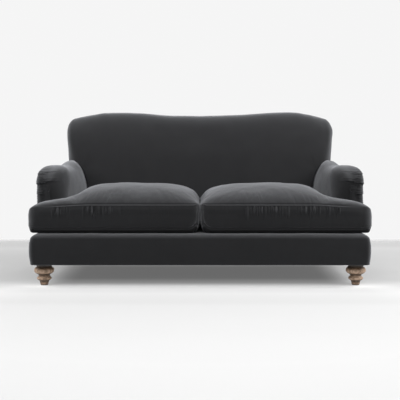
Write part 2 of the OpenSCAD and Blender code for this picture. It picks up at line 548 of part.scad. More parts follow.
// ---------------------------------------------------------------- output
left() front_leg();  // front_leg_left
front_leg();  // front_leg_right
left() rear_leg();  // rear_leg_left
rear_leg();  // rear_leg_right
leg_bolts();
leg_plates();
leg_glides();
front_rail();
rear_rail();
left() side_rail();  // side_rail_left
side_rail();  // side_rail_right
centre_rail();
corner_blocks();
left() arm_front_post();  // arm_front_post_left
arm_front_post();  // arm_front_post_right
left() arm_top_rail();  // arm_top_rail_left
arm_top_rail();  // arm_top_rail_right
left() arm_lower_rail();  // arm_lower_rail_left
arm_lower_rail();  // arm_lower_rail_right
left() arm_front_board();  // arm_front_board_left
arm_front_board();  // arm_front_board_right
left() arm_side_board();  // arm_side_board_left
arm_side_board();  // arm_side_board_right
left() back_post();  // back_post_left
back_post();  // back_post_right
back_top_rail();
back_lower_rail();
back_upright();
back_board();
frame_screws();
seat_springs();
spring_clips();
spring_tie_wires();
back_webbing();
seat_hessian();
deck_pad();
base_padding();
left() arm_foam();  // arm_foam_left
arm_foam();  // arm_foam_right
back_foam();
left() seat_core();  // seat_core_left
seat_core();  // seat_core_right
left() ear_core();  // ear_core_left
ear_core();  // ear_core_right
base_cover();
left() arm_cover();  // arm_cover_left
arm_cover();  // arm_cover_right
left() outside_arm_cover();  // outside_arm_cover_left
outside_arm_cover();  // outside_arm_cover_right
back_cover();
outside_back_cover();
deck_cover();
dust_cover();
left() seat_cushion_cover();  // seat_cushion_cover_left
seat_cushion_cover();  // seat_cushion_cover_right
left() zip_tape();  // zip_tape_left
zip_tape();  // zip_tape_right
left() zip_slider();  // zip_slider_left
zip_slider();  // zip_slider_right
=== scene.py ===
import json
import math

import bmesh
import bpy
import numpy as np
from mathutils.kdtree import KDTree
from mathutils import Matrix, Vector


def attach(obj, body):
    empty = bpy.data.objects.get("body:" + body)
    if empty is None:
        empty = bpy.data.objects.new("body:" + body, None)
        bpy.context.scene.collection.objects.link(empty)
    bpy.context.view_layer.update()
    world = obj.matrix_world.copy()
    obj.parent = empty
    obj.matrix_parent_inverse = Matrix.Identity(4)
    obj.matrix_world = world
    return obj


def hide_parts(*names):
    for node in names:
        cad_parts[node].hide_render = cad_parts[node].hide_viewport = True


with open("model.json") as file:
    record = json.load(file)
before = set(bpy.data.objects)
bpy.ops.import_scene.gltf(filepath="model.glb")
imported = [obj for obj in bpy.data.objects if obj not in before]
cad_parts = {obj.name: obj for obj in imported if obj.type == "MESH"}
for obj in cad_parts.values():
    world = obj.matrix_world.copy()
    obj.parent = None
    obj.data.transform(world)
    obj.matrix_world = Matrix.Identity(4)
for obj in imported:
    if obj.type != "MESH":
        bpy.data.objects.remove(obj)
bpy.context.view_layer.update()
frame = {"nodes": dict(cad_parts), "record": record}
nodes = frame["nodes"]
scene = bpy.context.scene
MM = 0.001

# ------------------------------------------------------------------ camera, world, lights
cam_data = bpy.data.cameras.new("camera")
cam_data.lens = 822 / 400 * 36
cam_data.sensor_width = 36
cam_data.clip_end = 60
cam = bpy.data.objects.new("camera", cam_data)
cam.location = (0, -4.48, 0.70)
cam.rotation_euler = (math.radians(90 - 3.83), 0, 0)
scene.collection.objects.link(cam)
scene.camera = cam
scene.view_settings.view_transform = "Standard"
scene.view_settings.look = "None"
scene.view_settings.exposure = 0
scene.view_settings.gamma = 1

world = bpy.data.worlds.new("studio")
scene.world = world
world.use_nodes = True
wt = world.node_tree
wt.nodes.clear()
w_out = wt.nodes.new("ShaderNodeOutputWorld")
w_mix = wt.nodes.new("ShaderNodeMixShader")
w_path = wt.nodes.new("ShaderNodeLightPath")
w_seen = wt.nodes.new("ShaderNodeBackground")
w_lit = wt.nodes.new("ShaderNodeBackground")
w_seen.inputs[0].default_value = (0.915, 0.915, 0.915, 1)
w_lit.inputs[0].default_value = (1.0, 1.0, 1.0, 1)
w_dir = wt.nodes.new("ShaderNodeTexCoord")
w_sep = wt.nodes.new("ShaderNodeSeparateXYZ")
w_up = wt.nodes.new("ShaderNodeMapRange")
w_up.interpolation_type = "SMOOTHSTEP"
W_LOW, W_HIGH = 0.36, 0.0
w_up.inputs["From Min"].default_value = 0.15
w_up.inputs["From Max"].default_value = 0.95
w_up.inputs["To Min"].default_value = W_LOW
w_up.inputs["To Max"].default_value = W_HIGH
wt.links.new(w_dir.outputs["Generated"], w_sep.inputs[0])
wt.links.new(w_sep.outputs["Z"], w_up.inputs[0])
wt.links.new(w_up.outputs[0], w_lit.inputs[1])
wt.links.new(w_path.outputs["Is Camera Ray"], w_mix.inputs[0])
wt.links.new(w_lit.outputs[0], w_mix.inputs[1])
wt.links.new(w_seen.outputs[0], w_mix.inputs[2])
wt.links.new(w_mix.outputs[0], w_out.inputs[0])


def area_light(name, loc, aim, size, power, spread=180):
    d = bpy.data.lights.new(name, "AREA")
    d.shape = "RECTANGLE"
    d.size, d.size_y = size
    d.energy = power
    d.spread = math.radians(spread)
    o = bpy.data.objects.new(name, d)
    o.location = loc
    o.rotation_euler = (Vector(aim) - Vector(loc)).to_track_quat("-Z", "Y").to_euler()
    scene.collection.objects.link(o)
    return o


LIGHTS = [
    ("light_top_front", (0, -2.35, 2.65), (0, -0.3, 0.4), (3.6, 1.4), 72),
    ("light_high_left", (-2.9, -0.6, 2.6), (-0.4, -0.1, 0.4), (1.4, 2.2), 94),
    ("light_high_right", (2.9, -0.6, 2.6), (0.4, -0.1, 0.4), (1.4, 2.2), 128),
    ("light_rear", (0, 3.0, 2.1), (0, 0.3, 0.6), (2.6, 0.8), 60),
]
for row in LIGHTS:
    if row[4] > 0:
        area_light(*row)


# ------------------------------------------------------------------ noise and mesh helpers
def lattice(i, j, k, seed):
    h = (i * 73856093) ^ (j * 19349663) ^ (k * 83492791) ^ (seed * 265443576 + 97)
    h = h & 0xFFFFFFFF
    h = ((h ^ (h >> 15)) * 2246822519) & 0xFFFFFFFF
    h = ((h ^ (h >> 13)) * 3266489917) & 0xFFFFFFFF
    h = h ^ (h >> 16)
    return (h & 0xFFFF) / 32767.5 - 1.0


def noise(p, seed=0):
    """Smooth value noise of the points p (n, 3), from -1 to 1."""
    p = np.asarray(p, float).reshape(-1, 3)
    q = np.floor(p).astype(np.int64)
    f = p - q
    u = f * f * f * (f * (f * 6 - 15) + 10)
    out = np.zeros(len(p))
    for a in (0, 1):
        for b in (0, 1):
            for c in (0, 1):
                w = (u[:, 0] if a else 1 - u[:, 0]) * (u[:, 1] if b else 1 - u[:, 1]) * (u[:, 2] if c else 1 - u[:, 2])
                out += w * lattice(q[:, 0] + a, q[:, 1] + b, q[:, 2] + c, seed)
    return out


def fbm(p, seed=0, octaves=3):
    p = np.asarray(p, float).reshape(-1, 3)
    return sum(noise(p * 2.03**k + 7.3 * k, seed + k) * 0.5**k for k in range(octaves))


def smooth(a, b, x):
    t = np.clip((np.asarray(x, float) - a) / (b - a), 0, 1)
    return t * t * (3 - 2 * t)


def lerp(a, b, t):
    return a + (b - a) * t


def look(x, table):
    """Smooth curve through a table of (x, y) pairs."""
    xs = np.array([p[0] for p in table], float)
    ys = np.array([p[1] for p in table], float)
    x = np.clip(np.asarray(x, float), xs[0], xs[-1])
    d = np.diff(ys) / np.diff(xs)
    m = np.concatenate([[d[0]], (d[:-1] + d[1:]) / 2, [d[-1]]])
    for i in range(len(d)):  # keeps the curve monotone between its points
        if d[i] == 0:
            m[i] = m[i + 1] = 0
        else:
            a, b = m[i] / d[i], m[i + 1] / d[i]
            if a < 0:
                m[i] = 0
            if b < 0:
                m[i + 1] = 0
            s = math.hypot(max(a, 0), max(b, 0))
            if s > 3:
                m[i], m[i + 1] = 3 * max(a, 0) / s * d[i], 3 * max(b, 0) / s * d[i]
    i = np.clip(np.searchsorted(xs, x, side="right") - 1, 0, len(xs) - 2)
    h = xs[i + 1] - xs[i]
    t = (x - xs[i]) / h
    return (
        ys[i] * (1 + 2 * t) * (1 - t) ** 2 + m[i] * h * t * (1 - t) ** 2 + ys[i + 1] * t * t * (3 - 2 * t) + m[i + 1] * h * t * t * (t - 1)
    )


def mesh_from(name, V, F, weld=0.0):
    V = np.asarray(V, float).reshape(-1, 3)
    F = np.asarray(F, np.int32)
    me = bpy.data.meshes.new(name)
    me.vertices.add(len(V))
    me.vertices.foreach_set("co", V.ravel())
    me.loops.add(F.size)
    me.loops.foreach_set("vertex_index", F.ravel())
    me.polygons.add(len(F))
    me.polygons.foreach_set("loop_start", np.arange(0, F.size, F.shape[1], dtype=np.int32))
    me.update(calc_edges=True)
    me.validate()
    bm = bmesh.new()
    bm.from_mesh(me)
    if weld:
        bmesh.ops.remove_doubles(bm, verts=bm.verts, dist=weld)
        bmesh.ops.dissolve_degenerate(bm, edges=bm.edges, dist=weld * 0.5)
    bmesh.ops.recalc_face_normals(bm, faces=bm.faces)
    bm.to_mesh(me)
    bm.free()
    me.polygons.foreach_set("use_smooth", np.ones(len(me.polygons), bool))
    me.update()
    o = bpy.data.objects.new(name, me)
    scene.collection.objects.link(o)
    return o


def grid_faces(n, m, wrap_m=False, wrap_n=False, start=0):
    i = np.arange(n if wrap_n else n - 1)
    j = np.arange(m if wrap_m else m - 1)
    I, J = np.meshgrid(i, j, indexing="ij")
    I2, J2 = (I + 1) % n, (J + 1) % m
    return np.stack([I * m + J, I2 * m + J, I2 * m + J2, I * m + J2], -1).reshape(-1, 4) + start


def grid_normals(P, wrap_m=False):
    """Unit normals of a grid of points P (n, m, 3)."""
    du = np.gradient(P, axis=0)
    if wrap_m:
        dv = (np.roll(P, -1, 1) - np.roll(P, 1, 1)) / 2
    else:
        dv = np.gradient(P, axis=1)
    nrm = np.cross(du, dv)
    ln = np.linalg.norm(nrm, axis=-1, keepdims=True)
    return nrm / np.maximum(ln, 1e-12)


def coords(o):
    a = np.empty(len(o.data.vertices) * 3)
    o.data.vertices.foreach_get("co", a)
    return a.reshape(-1, 3)


def set_coords(o, V):
    o.data.vertices.foreach_set("co", np.asarray(V, float).ravel())
    o.data.update()


def vertex_normals(o):
    a = np.empty(len(o.data.vertices) * 3)
    o.data.vertices.foreach_get("normal", a)
    return a.reshape(-1, 3)


def mirrored(o, name):
    me = o.data.copy()
    me.name = name
    m = bpy.data.objects.new(name, me)
    scene.collection.objects.link(m)
    V = coords(m)
    V[:, 0] *= -1
    set_coords(m, V)
    me.flip_normals()
    return m


def tube(name, path, r, sides=8, closed=False):
    """A round cord along the points of path."""
    P = np.asarray(path, float)
    n = len(P)
    T = (np.roll(P, -1, 0) - np.roll(P, 1, 0)) if closed else np.gradient(P, axis=0)
    T /= np.linalg.norm(T, axis=1, keepdims=True)
    up = np.array([0, 0, 1.0])
    A = np.cross(T, up)
    bad = np.linalg.norm(A, axis=1) < 0.05
    A[bad] = np.cross(T[bad], np.array([1.0, 0, 0]))
    A /= np.linalg.norm(A, axis=1, keepdims=True)
    B = np.cross(T, A)
    ang = np.linspace(0, 2 * np.pi, sides, endpoint=False)
    rr = np.full(n, r) if np.isscalar(r) else np.asarray(r)
    V = P[:, None, :] + rr[:, None, None] * (np.cos(ang)[None, :, None] * A[:, None, :] + np.sin(ang)[None, :, None] * B[:, None, :])
    F = grid_faces(n, sides, wrap_m=True, wrap_n=closed)
    V = V.reshape(-1, 3)
    if not closed:
        V = np.vstack([V, P[0] - T[0] * rr[0] * 0.4, P[-1] + T[-1] * rr[-1] * 0.4])
        a, b = n * sides, n * sides + 1
        caps = []
        for j in range(0, sides, 1):
            k = (j + 1) % sides
            caps.append([a, a, k, j])
            caps.append([b, b, (n - 1) * sides + j, (n - 1) * sides + k])
        F = np.vstack([F, np.array(caps)])
    return mesh_from(name, V, F, weld=1e-6)


# ------------------------------------------------------------------ materials
def new_mat(name):
    m = bpy.data.materials.new(name)
    m.use_nodes = True
    nt = m.node_tree
    nt.nodes.clear()
    out = nt.nodes.new("ShaderNodeOutputMaterial")
    b = nt.nodes.new("ShaderNodeBsdfPrincipled")
    nt.links.new(b.outputs[0], out.inputs[0])
    return m, nt, b


def add(nt, kind, ins=None, **attrs):
    n = nt.nodes.new(kind)
    for k, v in attrs.items():
        setattr(n, k, v)
    for k, v in (ins or {}).items():
        if hasattr(v, "is_output"):
            nt.links.new(v, n.inputs[k])
        else:
            n.inputs[k].default_value = v
    return n


def mapping(nt, scale, rot=(0, 0, 0)):
    tc = add(nt, "ShaderNodeTexCoord")
    return add(nt, "ShaderNodeMapping", {"Vector": tc.outputs["Object"], "Scale": scale, "Rotation": rot}).outputs[0]


def ramp(nt, fac, stops):
    r = add(nt, "ShaderNodeValToRGB", {"Fac": fac})
    e = r.color_ramp.elements
    while len(e) < len(stops):
        e.new(0.5)
    for i, (p, c) in enumerate(stops):
        e[i].position = p
        e[i].color = (*c, 1) if len(c) == 3 else c
    return r.outputs[0]


def mix(nt, fac, a, b, blend="MIX"):
    n = nt.nodes.new("ShaderNodeMix")
    n.data_type = "RGBA"
    n.blend_type = blend
    for i, v in ((0, fac), (6, a), (7, b)):
        if hasattr(v, "is_output"):
            nt.links.new(v, n.inputs[i])
        else:
            n.inputs[i].default_value = v if i == 0 else (*v, 1)
    return n.outputs[2]


def bump(nt, b, height, strength, distance, after=None):
    n = add(nt, "ShaderNodeBump", {"Height": height, "Strength": strength, "Distance": distance})
    if after is not None:
        nt.links.new(after, n.inputs["Normal"])
    nt.links.new(n.outputs[0], b.inputs["Normal"])
    return n.outputs[0]


def velvet(name, dark, light, sheen=0.85, spread=0.55):
    m, nt, b = new_mat(name)
    nap = add(nt, "ShaderNodeTexNoise", {"Vector": mapping(nt, (7, 7, 4.2)), "Scale": 1.0, "Detail": 4.0, "Roughness": 0.55, "Distortion": 0.6})
    strokes = add(nt, "ShaderNodeTexNoise", {"Vector": mapping(nt, (34, 34, 16)), "Scale": 1.0, "Detail": 3.0, "Roughness": 0.6})
    pile = add(nt, "ShaderNodeTexNoise", {"Vector": mapping(nt, (900, 900, 620)), "Scale": 1.0, "Detail": 2.0, "Roughness": 0.7})
    warp = add(nt, "ShaderNodeTexWave", {"Vector": mapping(nt, (1, 0.2, 1)), "Scale": 210.0, "Distortion": 1.5, "Detail": 1.0}, wave_type="BANDS", bands_direction="Z")
    c1 = ramp(nt, nap.outputs[0], [(0.32, dark), (0.68, light)])
    c2 = mix(nt, 0.35, c1, ramp(nt, strokes.outputs[0], [(0.35, tuple(x * 0.72 for x in dark)), (0.7, tuple(x * 1.25 for x in light))]))
    c3 = mix(nt, 0.22, c2, ramp(nt, pile.outputs[0], [(0.3, tuple(x * 0.5 for x in dark)), (0.72, tuple(x * 1.7 for x in light))]))
    nt.links.new(c3, b.inputs["Base Color"])
    nt.links.new(ramp(nt, strokes.outputs[0], [(0.3, (0.78,) * 3), (0.7, (0.92,) * 3)]), b.inputs["Roughness"])
    b.inputs["Specular IOR Level"].default_value = 0.12
    b.inputs["Sheen Weight"].default_value = sheen
    b.inputs["Sheen Roughness"].default_value = spread
    b.inputs["Sheen Tint"].default_value = (0.93, 0.95, 1.0, 1)
    n1 = bump(nt, b, strokes.outputs[0], 0.05, 0.0025)
    n2 = bump(nt, b, warp.outputs[0], 0.05, 0.0004, n1)
    bump(nt, b, pile.outputs[0], 0.35, 0.0005, n2)
    return m


def wood(name, pale, mid, deep, rough=0.45, grain=(26, 26, 2.6), bump_strength=0.25):
    m, nt, b = new_mat(name)
    g = add(nt, "ShaderNodeTexNoise", {"Vector": mapping(nt, grain), "Scale": 1.6, "Detail": 6.0, "Roughness": 0.65, "Distortion": 1.4})
    rings = add(nt, "ShaderNodeTexWave", {"Vector": mapping(nt, (grain[0] * 1.1, grain[1] * 0.9, grain[2] * 0.6)), "Scale": 1.3, "Distortion": 7.0, "Detail": 3.0, "Detail Scale": 1.4}, wave_type="RINGS")
    pores = add(nt, "ShaderNodeTexNoise", {"Vector": mapping(nt, (grain[0] * 22, grain[1] * 22, grain[2] * 6)), "Scale": 1.0, "Detail": 2.0, "Roughness": 0.6})
    c = mix(nt, 0.5, ramp(nt, g.outputs[0], [(0.3, deep), (0.5, mid), (0.72, pale)]), ramp(nt, rings.outputs[0], [(0.1, deep), (0.5, mid), (0.9, pale)]))
    c = mix(nt, 0.28, c, ramp(nt, pores.outputs[0], [(0.34, tuple(x * 0.4 for x in deep)), (0.5, mid), (0.7, pale)]))
    nt.links.new(c, b.inputs["Base Color"])
    nt.links.new(ramp(nt, g.outputs[0], [(0.3, (rough + 0.12,) * 3), (0.7, (rough - 0.04,) * 3)]), b.inputs["Roughness"])
    b.inputs["Specular IOR Level"].default_value = 0.4
    n1 = bump(nt, b, g.outputs[0], bump_strength, 0.0012)
    bump(nt, b, pores.outputs[0], bump_strength, 0.0005, n1)
    return m


def grooves(mat, stops):
    """Darker colour in the turned grooves and at the top of the front legs under the base: painted shade, partly a
    stain in the grooves; a factor on the colour against height.
    """
    nt = mat.node_tree
    b = [n for n in nt.nodes if n.type == "BSDF_PRINCIPLED"][0]
    c = b.inputs["Base Color"].links[0].from_socket
    sep = add(nt, "ShaderNodeSeparateXYZ", {"Vector": add(nt, "ShaderNodeTexCoord").outputs["Object"]})
    wob = add(nt, "ShaderNodeTexNoise", {"Vector": mapping(nt, (30, 30, 12)), "Scale": 1.0, "Detail": 3.0})
    zz = add(nt, "ShaderNodeMapRange", {"Value": add(nt, "ShaderNodeMath", {0: sep.outputs["Z"], 1: add(nt, "ShaderNodeMath", {0: wob.outputs[0], 1: 0.004}, operation="MULTIPLY").outputs[0]}, operation="ADD").outputs[0], "From Min": 0.0, "From Max": 0.12})
    dark = ramp(nt, zz.outputs[0], [(z / 0.12, (v, v * 0.93, v * 0.84) if v < 0.7 else (v, v, v)) for z, v in stops])
    # only the front legs get the painted shade
    front = add(nt, "ShaderNodeMath", {0: sep.outputs["Y"], 1: -0.2}, operation="LESS_THAN")
    nt.links.new(mix(nt, front.outputs[0], c, mix(nt, 1.0, c, dark, "MULTIPLY")), b.inputs["Base Color"])
    return mat


def woven(name, a, bcol, count, rough=0.9, strength=0.5, sheen=0.1):
    m, nt, b = new_mat(name)
    k = count
    wx = add(nt, "ShaderNodeTexWave", {"Vector": mapping(nt, (k, k * 0.02, k * 0.02)), "Scale": 1.0, "Distortion": 0.8, "Detail": 1.0}, wave_type="BANDS", bands_direction="X")
    wy = add(nt, "ShaderNodeTexWave", {"Vector": mapping(nt, (k * 0.02, k, k)), "Scale": 1.0, "Distortion": 0.8, "Detail": 1.0}, wave_type="BANDS", bands_direction="DIAGONAL")
    fuzz = add(nt, "ShaderNodeTexNoise", {"Vector": mapping(nt, (60, 60, 60)), "Scale": 1.0, "Detail": 4.0})
    w = add(nt, "ShaderNodeMath", {0: wx.outputs[1], 1: wy.outputs[1]}, operation="MULTIPLY").outputs[0]
    c = mix(nt, 0.3, ramp(nt, w, [(0.0, a), (0.6, bcol)]), ramp(nt, fuzz.outputs[0], [(0.3, a), (0.7, bcol)]))
    nt.links.new(c, b.inputs["Base Color"])
    nt.links.new(ramp(nt, fuzz.outputs[0], [(0.3, (rough - 0.06,) * 3), (0.7, (rough,) * 3)]), b.inputs["Roughness"])
    b.inputs["Sheen Weight"].default_value = sheen
    bump(nt, b, w, strength, 0.0006)
    return m


def metal(name, col, rough):
    m, nt, b = new_mat(name)
    n = add(nt, "ShaderNodeTexNoise", {"Vector": mapping(nt, (320, 320, 320)), "Scale": 1.0, "Detail": 3.0})
    s = add(nt, "ShaderNodeTexNoise", {"Vector": mapping(nt, (18, 18, 18)), "Scale": 1.0, "Detail": 3.0})
    nt.links.new(mix(nt, 0.5, ramp(nt, s.outputs[0], [(0.35, tuple(x * 0.78 for x in col)), (0.7, col)]), col), b.inputs["Base Color"])
    nt.links.new(ramp(nt, n.outputs[0], [(0.3, (rough - 0.08,) * 3), (0.7, (rough + 0.1,) * 3)]), b.inputs["Roughness"])
    b.inputs["Metallic"].default_value = 1.0
    bump(nt, b, n.outputs[0], 0.08, 0.0003)
    return m


def speckled(name, a, bcol, scale, rough, strength, voronoi=False):
    m, nt, b = new_mat(name)
    vec = mapping(nt, (scale,) * 3)
    if voronoi:
        t = add(nt, "ShaderNodeTexVoronoi", {"Vector": vec, "Scale": 1.0}).outputs[0]
    else:
        t = add(nt, "ShaderNodeTexNoise", {"Vector": vec, "Scale": 1.0, "Detail": 4.0, "Roughness": 0.65}).outputs[0]
    big = add(nt, "ShaderNodeTexNoise", {"Vector": mapping(nt, (6, 6, 6)), "Scale": 1.0, "Detail": 3.0})
    nt.links.new(mix(nt, 0.35, ramp(nt, t, [(0.3, a), (0.7, bcol)]), ramp(nt, big.outputs[0], [(0.35, a), (0.65, bcol)])), b.inputs["Base Color"])
    nt.links.new(ramp(nt, t, [(0.3, (rough,) * 3), (0.7, (min(1, rough + 0.08),) * 3)]), b.inputs["Roughness"])
    b.inputs["Specular IOR Level"].default_value = 0.3
    bump(nt, b, t, strength, 0.0008)
    return m


M_VELVET = velvet("charcoal_velvet", (0.0052, 0.0052, 0.0057), (0.0086, 0.0086, 0.0093), 0.44, 0.50)
# the left arm's velvet is a copy with stronger sheen: painted light, for the brighter light on that arm's inside
M_VELVET_LEFT_ARM_PAINTED_LIGHT = velvet("charcoal_velvet_left_arm_painted_light", (0.0052, 0.0052, 0.0057), (0.0086, 0.0086, 0.0093), 0.57, 0.50)
# the base band's velvet is a darker copy with stronger sheen: painted shade on its front and a painted highlight on its
# top roll
M_VELVET_BASE_PAINTED_LIGHT = velvet("charcoal_velvet_base_painted_light", (0.0028, 0.0028, 0.0031), (0.0048, 0.0048, 0.0052), 0.57, 0.50)
# a darker copy with little sheen for the cushions' underside: painted shade
M_VELVET_UNDER_PAINTED_SHADE = velvet("charcoal_velvet_painted_shade", (0.0030, 0.0030, 0.0033), (0.0052, 0.0052, 0.0056), 0.10, 0.50)
# oak of the legs, with painted shade in the grooves and under the base on the front legs
M_OAK = grooves(wood("light_oak", (0.66, 0.480, 0.350), (0.45, 0.310, 0.215), (0.16, 0.100, 0.062), 0.42),
                [(0.002, 0.72), (0.012, 0.56), (0.020, 0.28), (0.0260, 0.08), (0.0305, 0.48), (0.0365, 1.0), (0.0465, 1.0), (0.0515, 0.40), (0.0570, 0.07), (0.0620, 0.34), (0.0670, 0.95), (0.0800, 1.0), (0.0880, 0.62), (0.0935, 0.22), (0.0990, 0.09), (0.108, 0.03)])
M_PINE = wood("frame_pine", (0.62, 0.44, 0.24), (0.50, 0.33, 0.17), (0.36, 0.21, 0.10), 0.7, (12, 3, 12))
M_STEEL = metal("zinc_steel", (0.56, 0.57, 0.60), 0.38)
M_NICKEL = metal("zip_nickel", (0.50, 0.49, 0.47), 0.32)
M_NYLON = speckled("glide_nylon", (0.03, 0.028, 0.026), (0.06, 0.056, 0.05), 300, 0.5, 0.15)
M_FOAM = speckled("foam", (0.62, 0.58, 0.44), (0.80, 0.77, 0.66), 420, 0.95, 0.8, voronoi=True)
M_BOARD = speckled("panel_board", (0.22, 0.14, 0.075), (0.36, 0.25, 0.15), 240, 0.85, 0.3)
M_WEB = woven("webbing", (0.10, 0.06, 0.03), (0.26, 0.17, 0.09), 520, 0.9, 0.6)
M_HESSIAN = woven("hessian", (0.16, 0.10, 0.05), (0.38, 0.27, 0.15), 420, 0.95, 0.9)
M_DUST = woven("dust_cloth", (0.004, 0.004, 0.004), (0.013, 0.013, 0.0135), 1200, 0.85, 0.25)
M_ZIP = woven("zip_tape", (0.006, 0.006, 0.0065), (0.018, 0.018, 0.019), 1400, 0.85, 0.3)

BY_SLOT = {
    "velvet": M_VELVET, "oak_leg": M_OAK, "frame_pine": M_PINE, "panel_board": M_BOARD, "foam": M_FOAM, "steel": M_STEEL,
    "nylon_glide": M_NYLON, "webbing": M_WEB, "hessian": M_HESSIAN, "dust_cloth": M_DUST, "zip_tape": M_ZIP,
}
slot_of = {s["node"]: s["material_slot"] for s in frame["record"]["subparts"]}
for name, o in nodes.items():
    mat = BY_SLOT[slot_of[name]]
    if name.startswith("zip_slider"):
        mat = M_NICKEL
    if not o.material_slots:
        o.data.materials.append(mat)
    for s in o.material_slots:
        s.material = mat


def dress(o, mat, body):
    o.data.materials.clear()
    o.data.materials.append(mat)
    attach(o, body)
    return o


# ------------------------------------------------------------------ shape of the sofa, metres
BASE_X, BASE_F, BASE_R = 0.8370, -0.486, 0.412
Z_BASE0, Z_BASE1 = 0.111, 0.264
RAKE = math.radians(6.65)


def yout(z):
    return 0.414 + (np.asarray(z) - 0.264) * math.tan(RAKE)


ZT = [(0, .8638), (.079, .8655), (.150, .8682), (.220, .8732), (.290, .878), (.360, .8822), (.431, .8860), (.483, .8868), (.536, .8862), (.571, .8840), (.604, .8775),
      (.640, .8712), (.668, .8650), (.694, .8596), (.715, .8540), (.736, .8478), (.749, .837), (.758, .826), (.764, .815), (.768, .802), (.770, .788)]


def back_zt(x):
    return look(np.abs(x), ZT) + 0.004 + 0.0008 * smooth(0.44, 0.34, np.abs(x))


# ------------------------------------------------------------------ base band
def base_band():
    # section: inset from the outline against height, outside then the return inside
    out = [(0.019, 0.1112), (0.012, 0.1108), (0.006, 0.1110), (0.0030, 0.1122), (0.0012, 0.1145), (0.0006, 0.1170), (0.0010, 0.1190)]
    zz = np.linspace(0.121, 0.238, 28, endpoint=False)
    ins = look(zz, [(0.121, 0.0012), (0.150, -0.0012), (0.180, -0.0020), (0.212, -0.0014), (0.238, 0.0)])
    out += list(zip(ins, zz))
    for k in range(19):
        w = math.radians(k * 5)
        out.append((0.046 * (1 - math.cos(w)), 0.239 + 0.0262 * math.sin(w)))
    out += [(0.048, 0.2652)]
    inner = [(0.048, 0.2450), (0.0060, 0.2412), (0.0052, 0.1150), (0.019, 0.1148)]
    sec = np.array(out + inner)

    def outline(o, r0=0.024):
        hx, y0, y1 = BASE_X - o, BASE_F + o, BASE_R - o
        r = max(r0 - o * 0.5, 0.006)
        pts = []
        segs = [((-hx + r, y0), (hx - r, y0), (hx - r, y0 + r), -90), ((hx, y0 + r), (hx, y1 - r), (hx - r, y1 - r), 0),
                ((hx - r, y1), (-hx + r, y1), (-hx + r, y1 - r), 90), ((-hx, y1 - r), (-hx, y0 + r), (-hx + r, y0 + r), 180)]
        counts = [236, 120, 236, 120]
        for (a, b, c, ang), n in zip(segs, counts):
            for k in range(n):
                t = k / n
                pts.append((lerp(a[0], b[0], t), lerp(a[1], b[1], t)))
            for k in range(10):
                w = math.radians(ang + 9 * k)
                pts.append((c[0] + r * math.cos(w), c[1] + r * math.sin(w)))
        return np.array(pts)

    rings = []
    for o, z in sec:
        p = outline(o)
        rings.append(np.column_stack([p, np.full(len(p), z)]))
    P = np.array(rings)
    n, m, _ = P.shape
    nr = grid_normals(P, True)
    c = P.reshape(-1, 3)
    body = (np.repeat(np.arange(n), m) > 8) & (np.repeat(np.arange(n), m) < 30)
    side = float(np.sign(np.sum((nr.reshape(-1, 3)[:, :2] * (c[:, :2] - np.array([0, -0.02])))[body])))
    d = fbm(c * np.array([7.0, 7.0, 16.0]), 11, 3) * 0.0009 + fbm(c * np.array([26.0, 26.0, 9.0]), 15, 2) * 0.00035
    # soft dents under the cushion fronts and puckers along the lower hem
    keep = np.repeat(np.array([1.0 if k < len(out) - 1 and k > 2 else 0.0 for k in range(n)]), m)
    ends = smooth(0.79, 0.835, np.abs(c[:, 0]))
    d = d + ends * (0.0028 * np.sin(np.pi * np.clip((c[:, 2] - 0.111) / 0.128, 0, 1)) - 0.0030 * smooth(0.218, 0.252, c[:, 2]))
    hem = np.exp(-((c[:, 2] - 0.119) / 0.006) ** 2)
    per = np.tile(np.arange(m) * 0.0072, n)
    pk = noise(np.column_stack([per * 55, c[:, 2] * 0, c[:, 2] * 0]), 21) * 0.0005
    d = (d + hem * pk) * keep
    nv = nr.reshape(-1, 3) * side
    P2 = (c + nv * d[:, None]).reshape(n, m, 3)
    o = mesh_from("base_band", P2, grid_faces(n, m, True, True))
    return o


# ------------------------------------------------------------------ arms
A_F = -0.283
XI = [(-.281, .702), (-.22, .690), (-.15, .676), (-.08, .665), (.04, .650), (.15, .641), (.5, .641)]
XO = [(-.281, .8400), (.15, .818), (.5, .818)]
ZC = [(-.281, .6025), (-.235, .6018), (-.15, .596), (-.05, .589), (.01, .592), (.06, .600), (.13, .611), (.17, .613), (.5, .613)]
ZS = [(-.281, .498), (0, .468), (.14, .425), (.5, .425)]
AZ0 = 0.2655


def arm_profile(T, y):
    """Points (x, z) of the arm's outline at T (0-1 outer side, 1-2 crest, 2-3 inner side), at lengths y of the same shape."""
    xi, xo, zc, zs = look(y, XI), look(y, XO), look(y, ZC), look(y, ZS)
    front = smooth(.08, -.26, y)
    n = np.where(T < 1.5, lerp(2.0, 3.5, front), lerp(2.0, 2.36, front))
    c, a, b = (xi + xo) / 2, (xo - xi) / 2, zc - zs
    th = np.clip(T - 1, 0, 1) * math.pi
    cx, sx = np.cos(th), np.sin(th)
    x = c + a * np.sign(cx) * np.abs(cx) ** (2 / n)
    z = zs + b * np.abs(sx) ** (2 / n)
    x = np.where(T < 1, xo, np.where(T > 2, xi, x))
    z = np.where(T < 1, lerp(AZ0, zs, T), np.where(T > 2, lerp(zs, AZ0, T - 2), z))
    return x, z


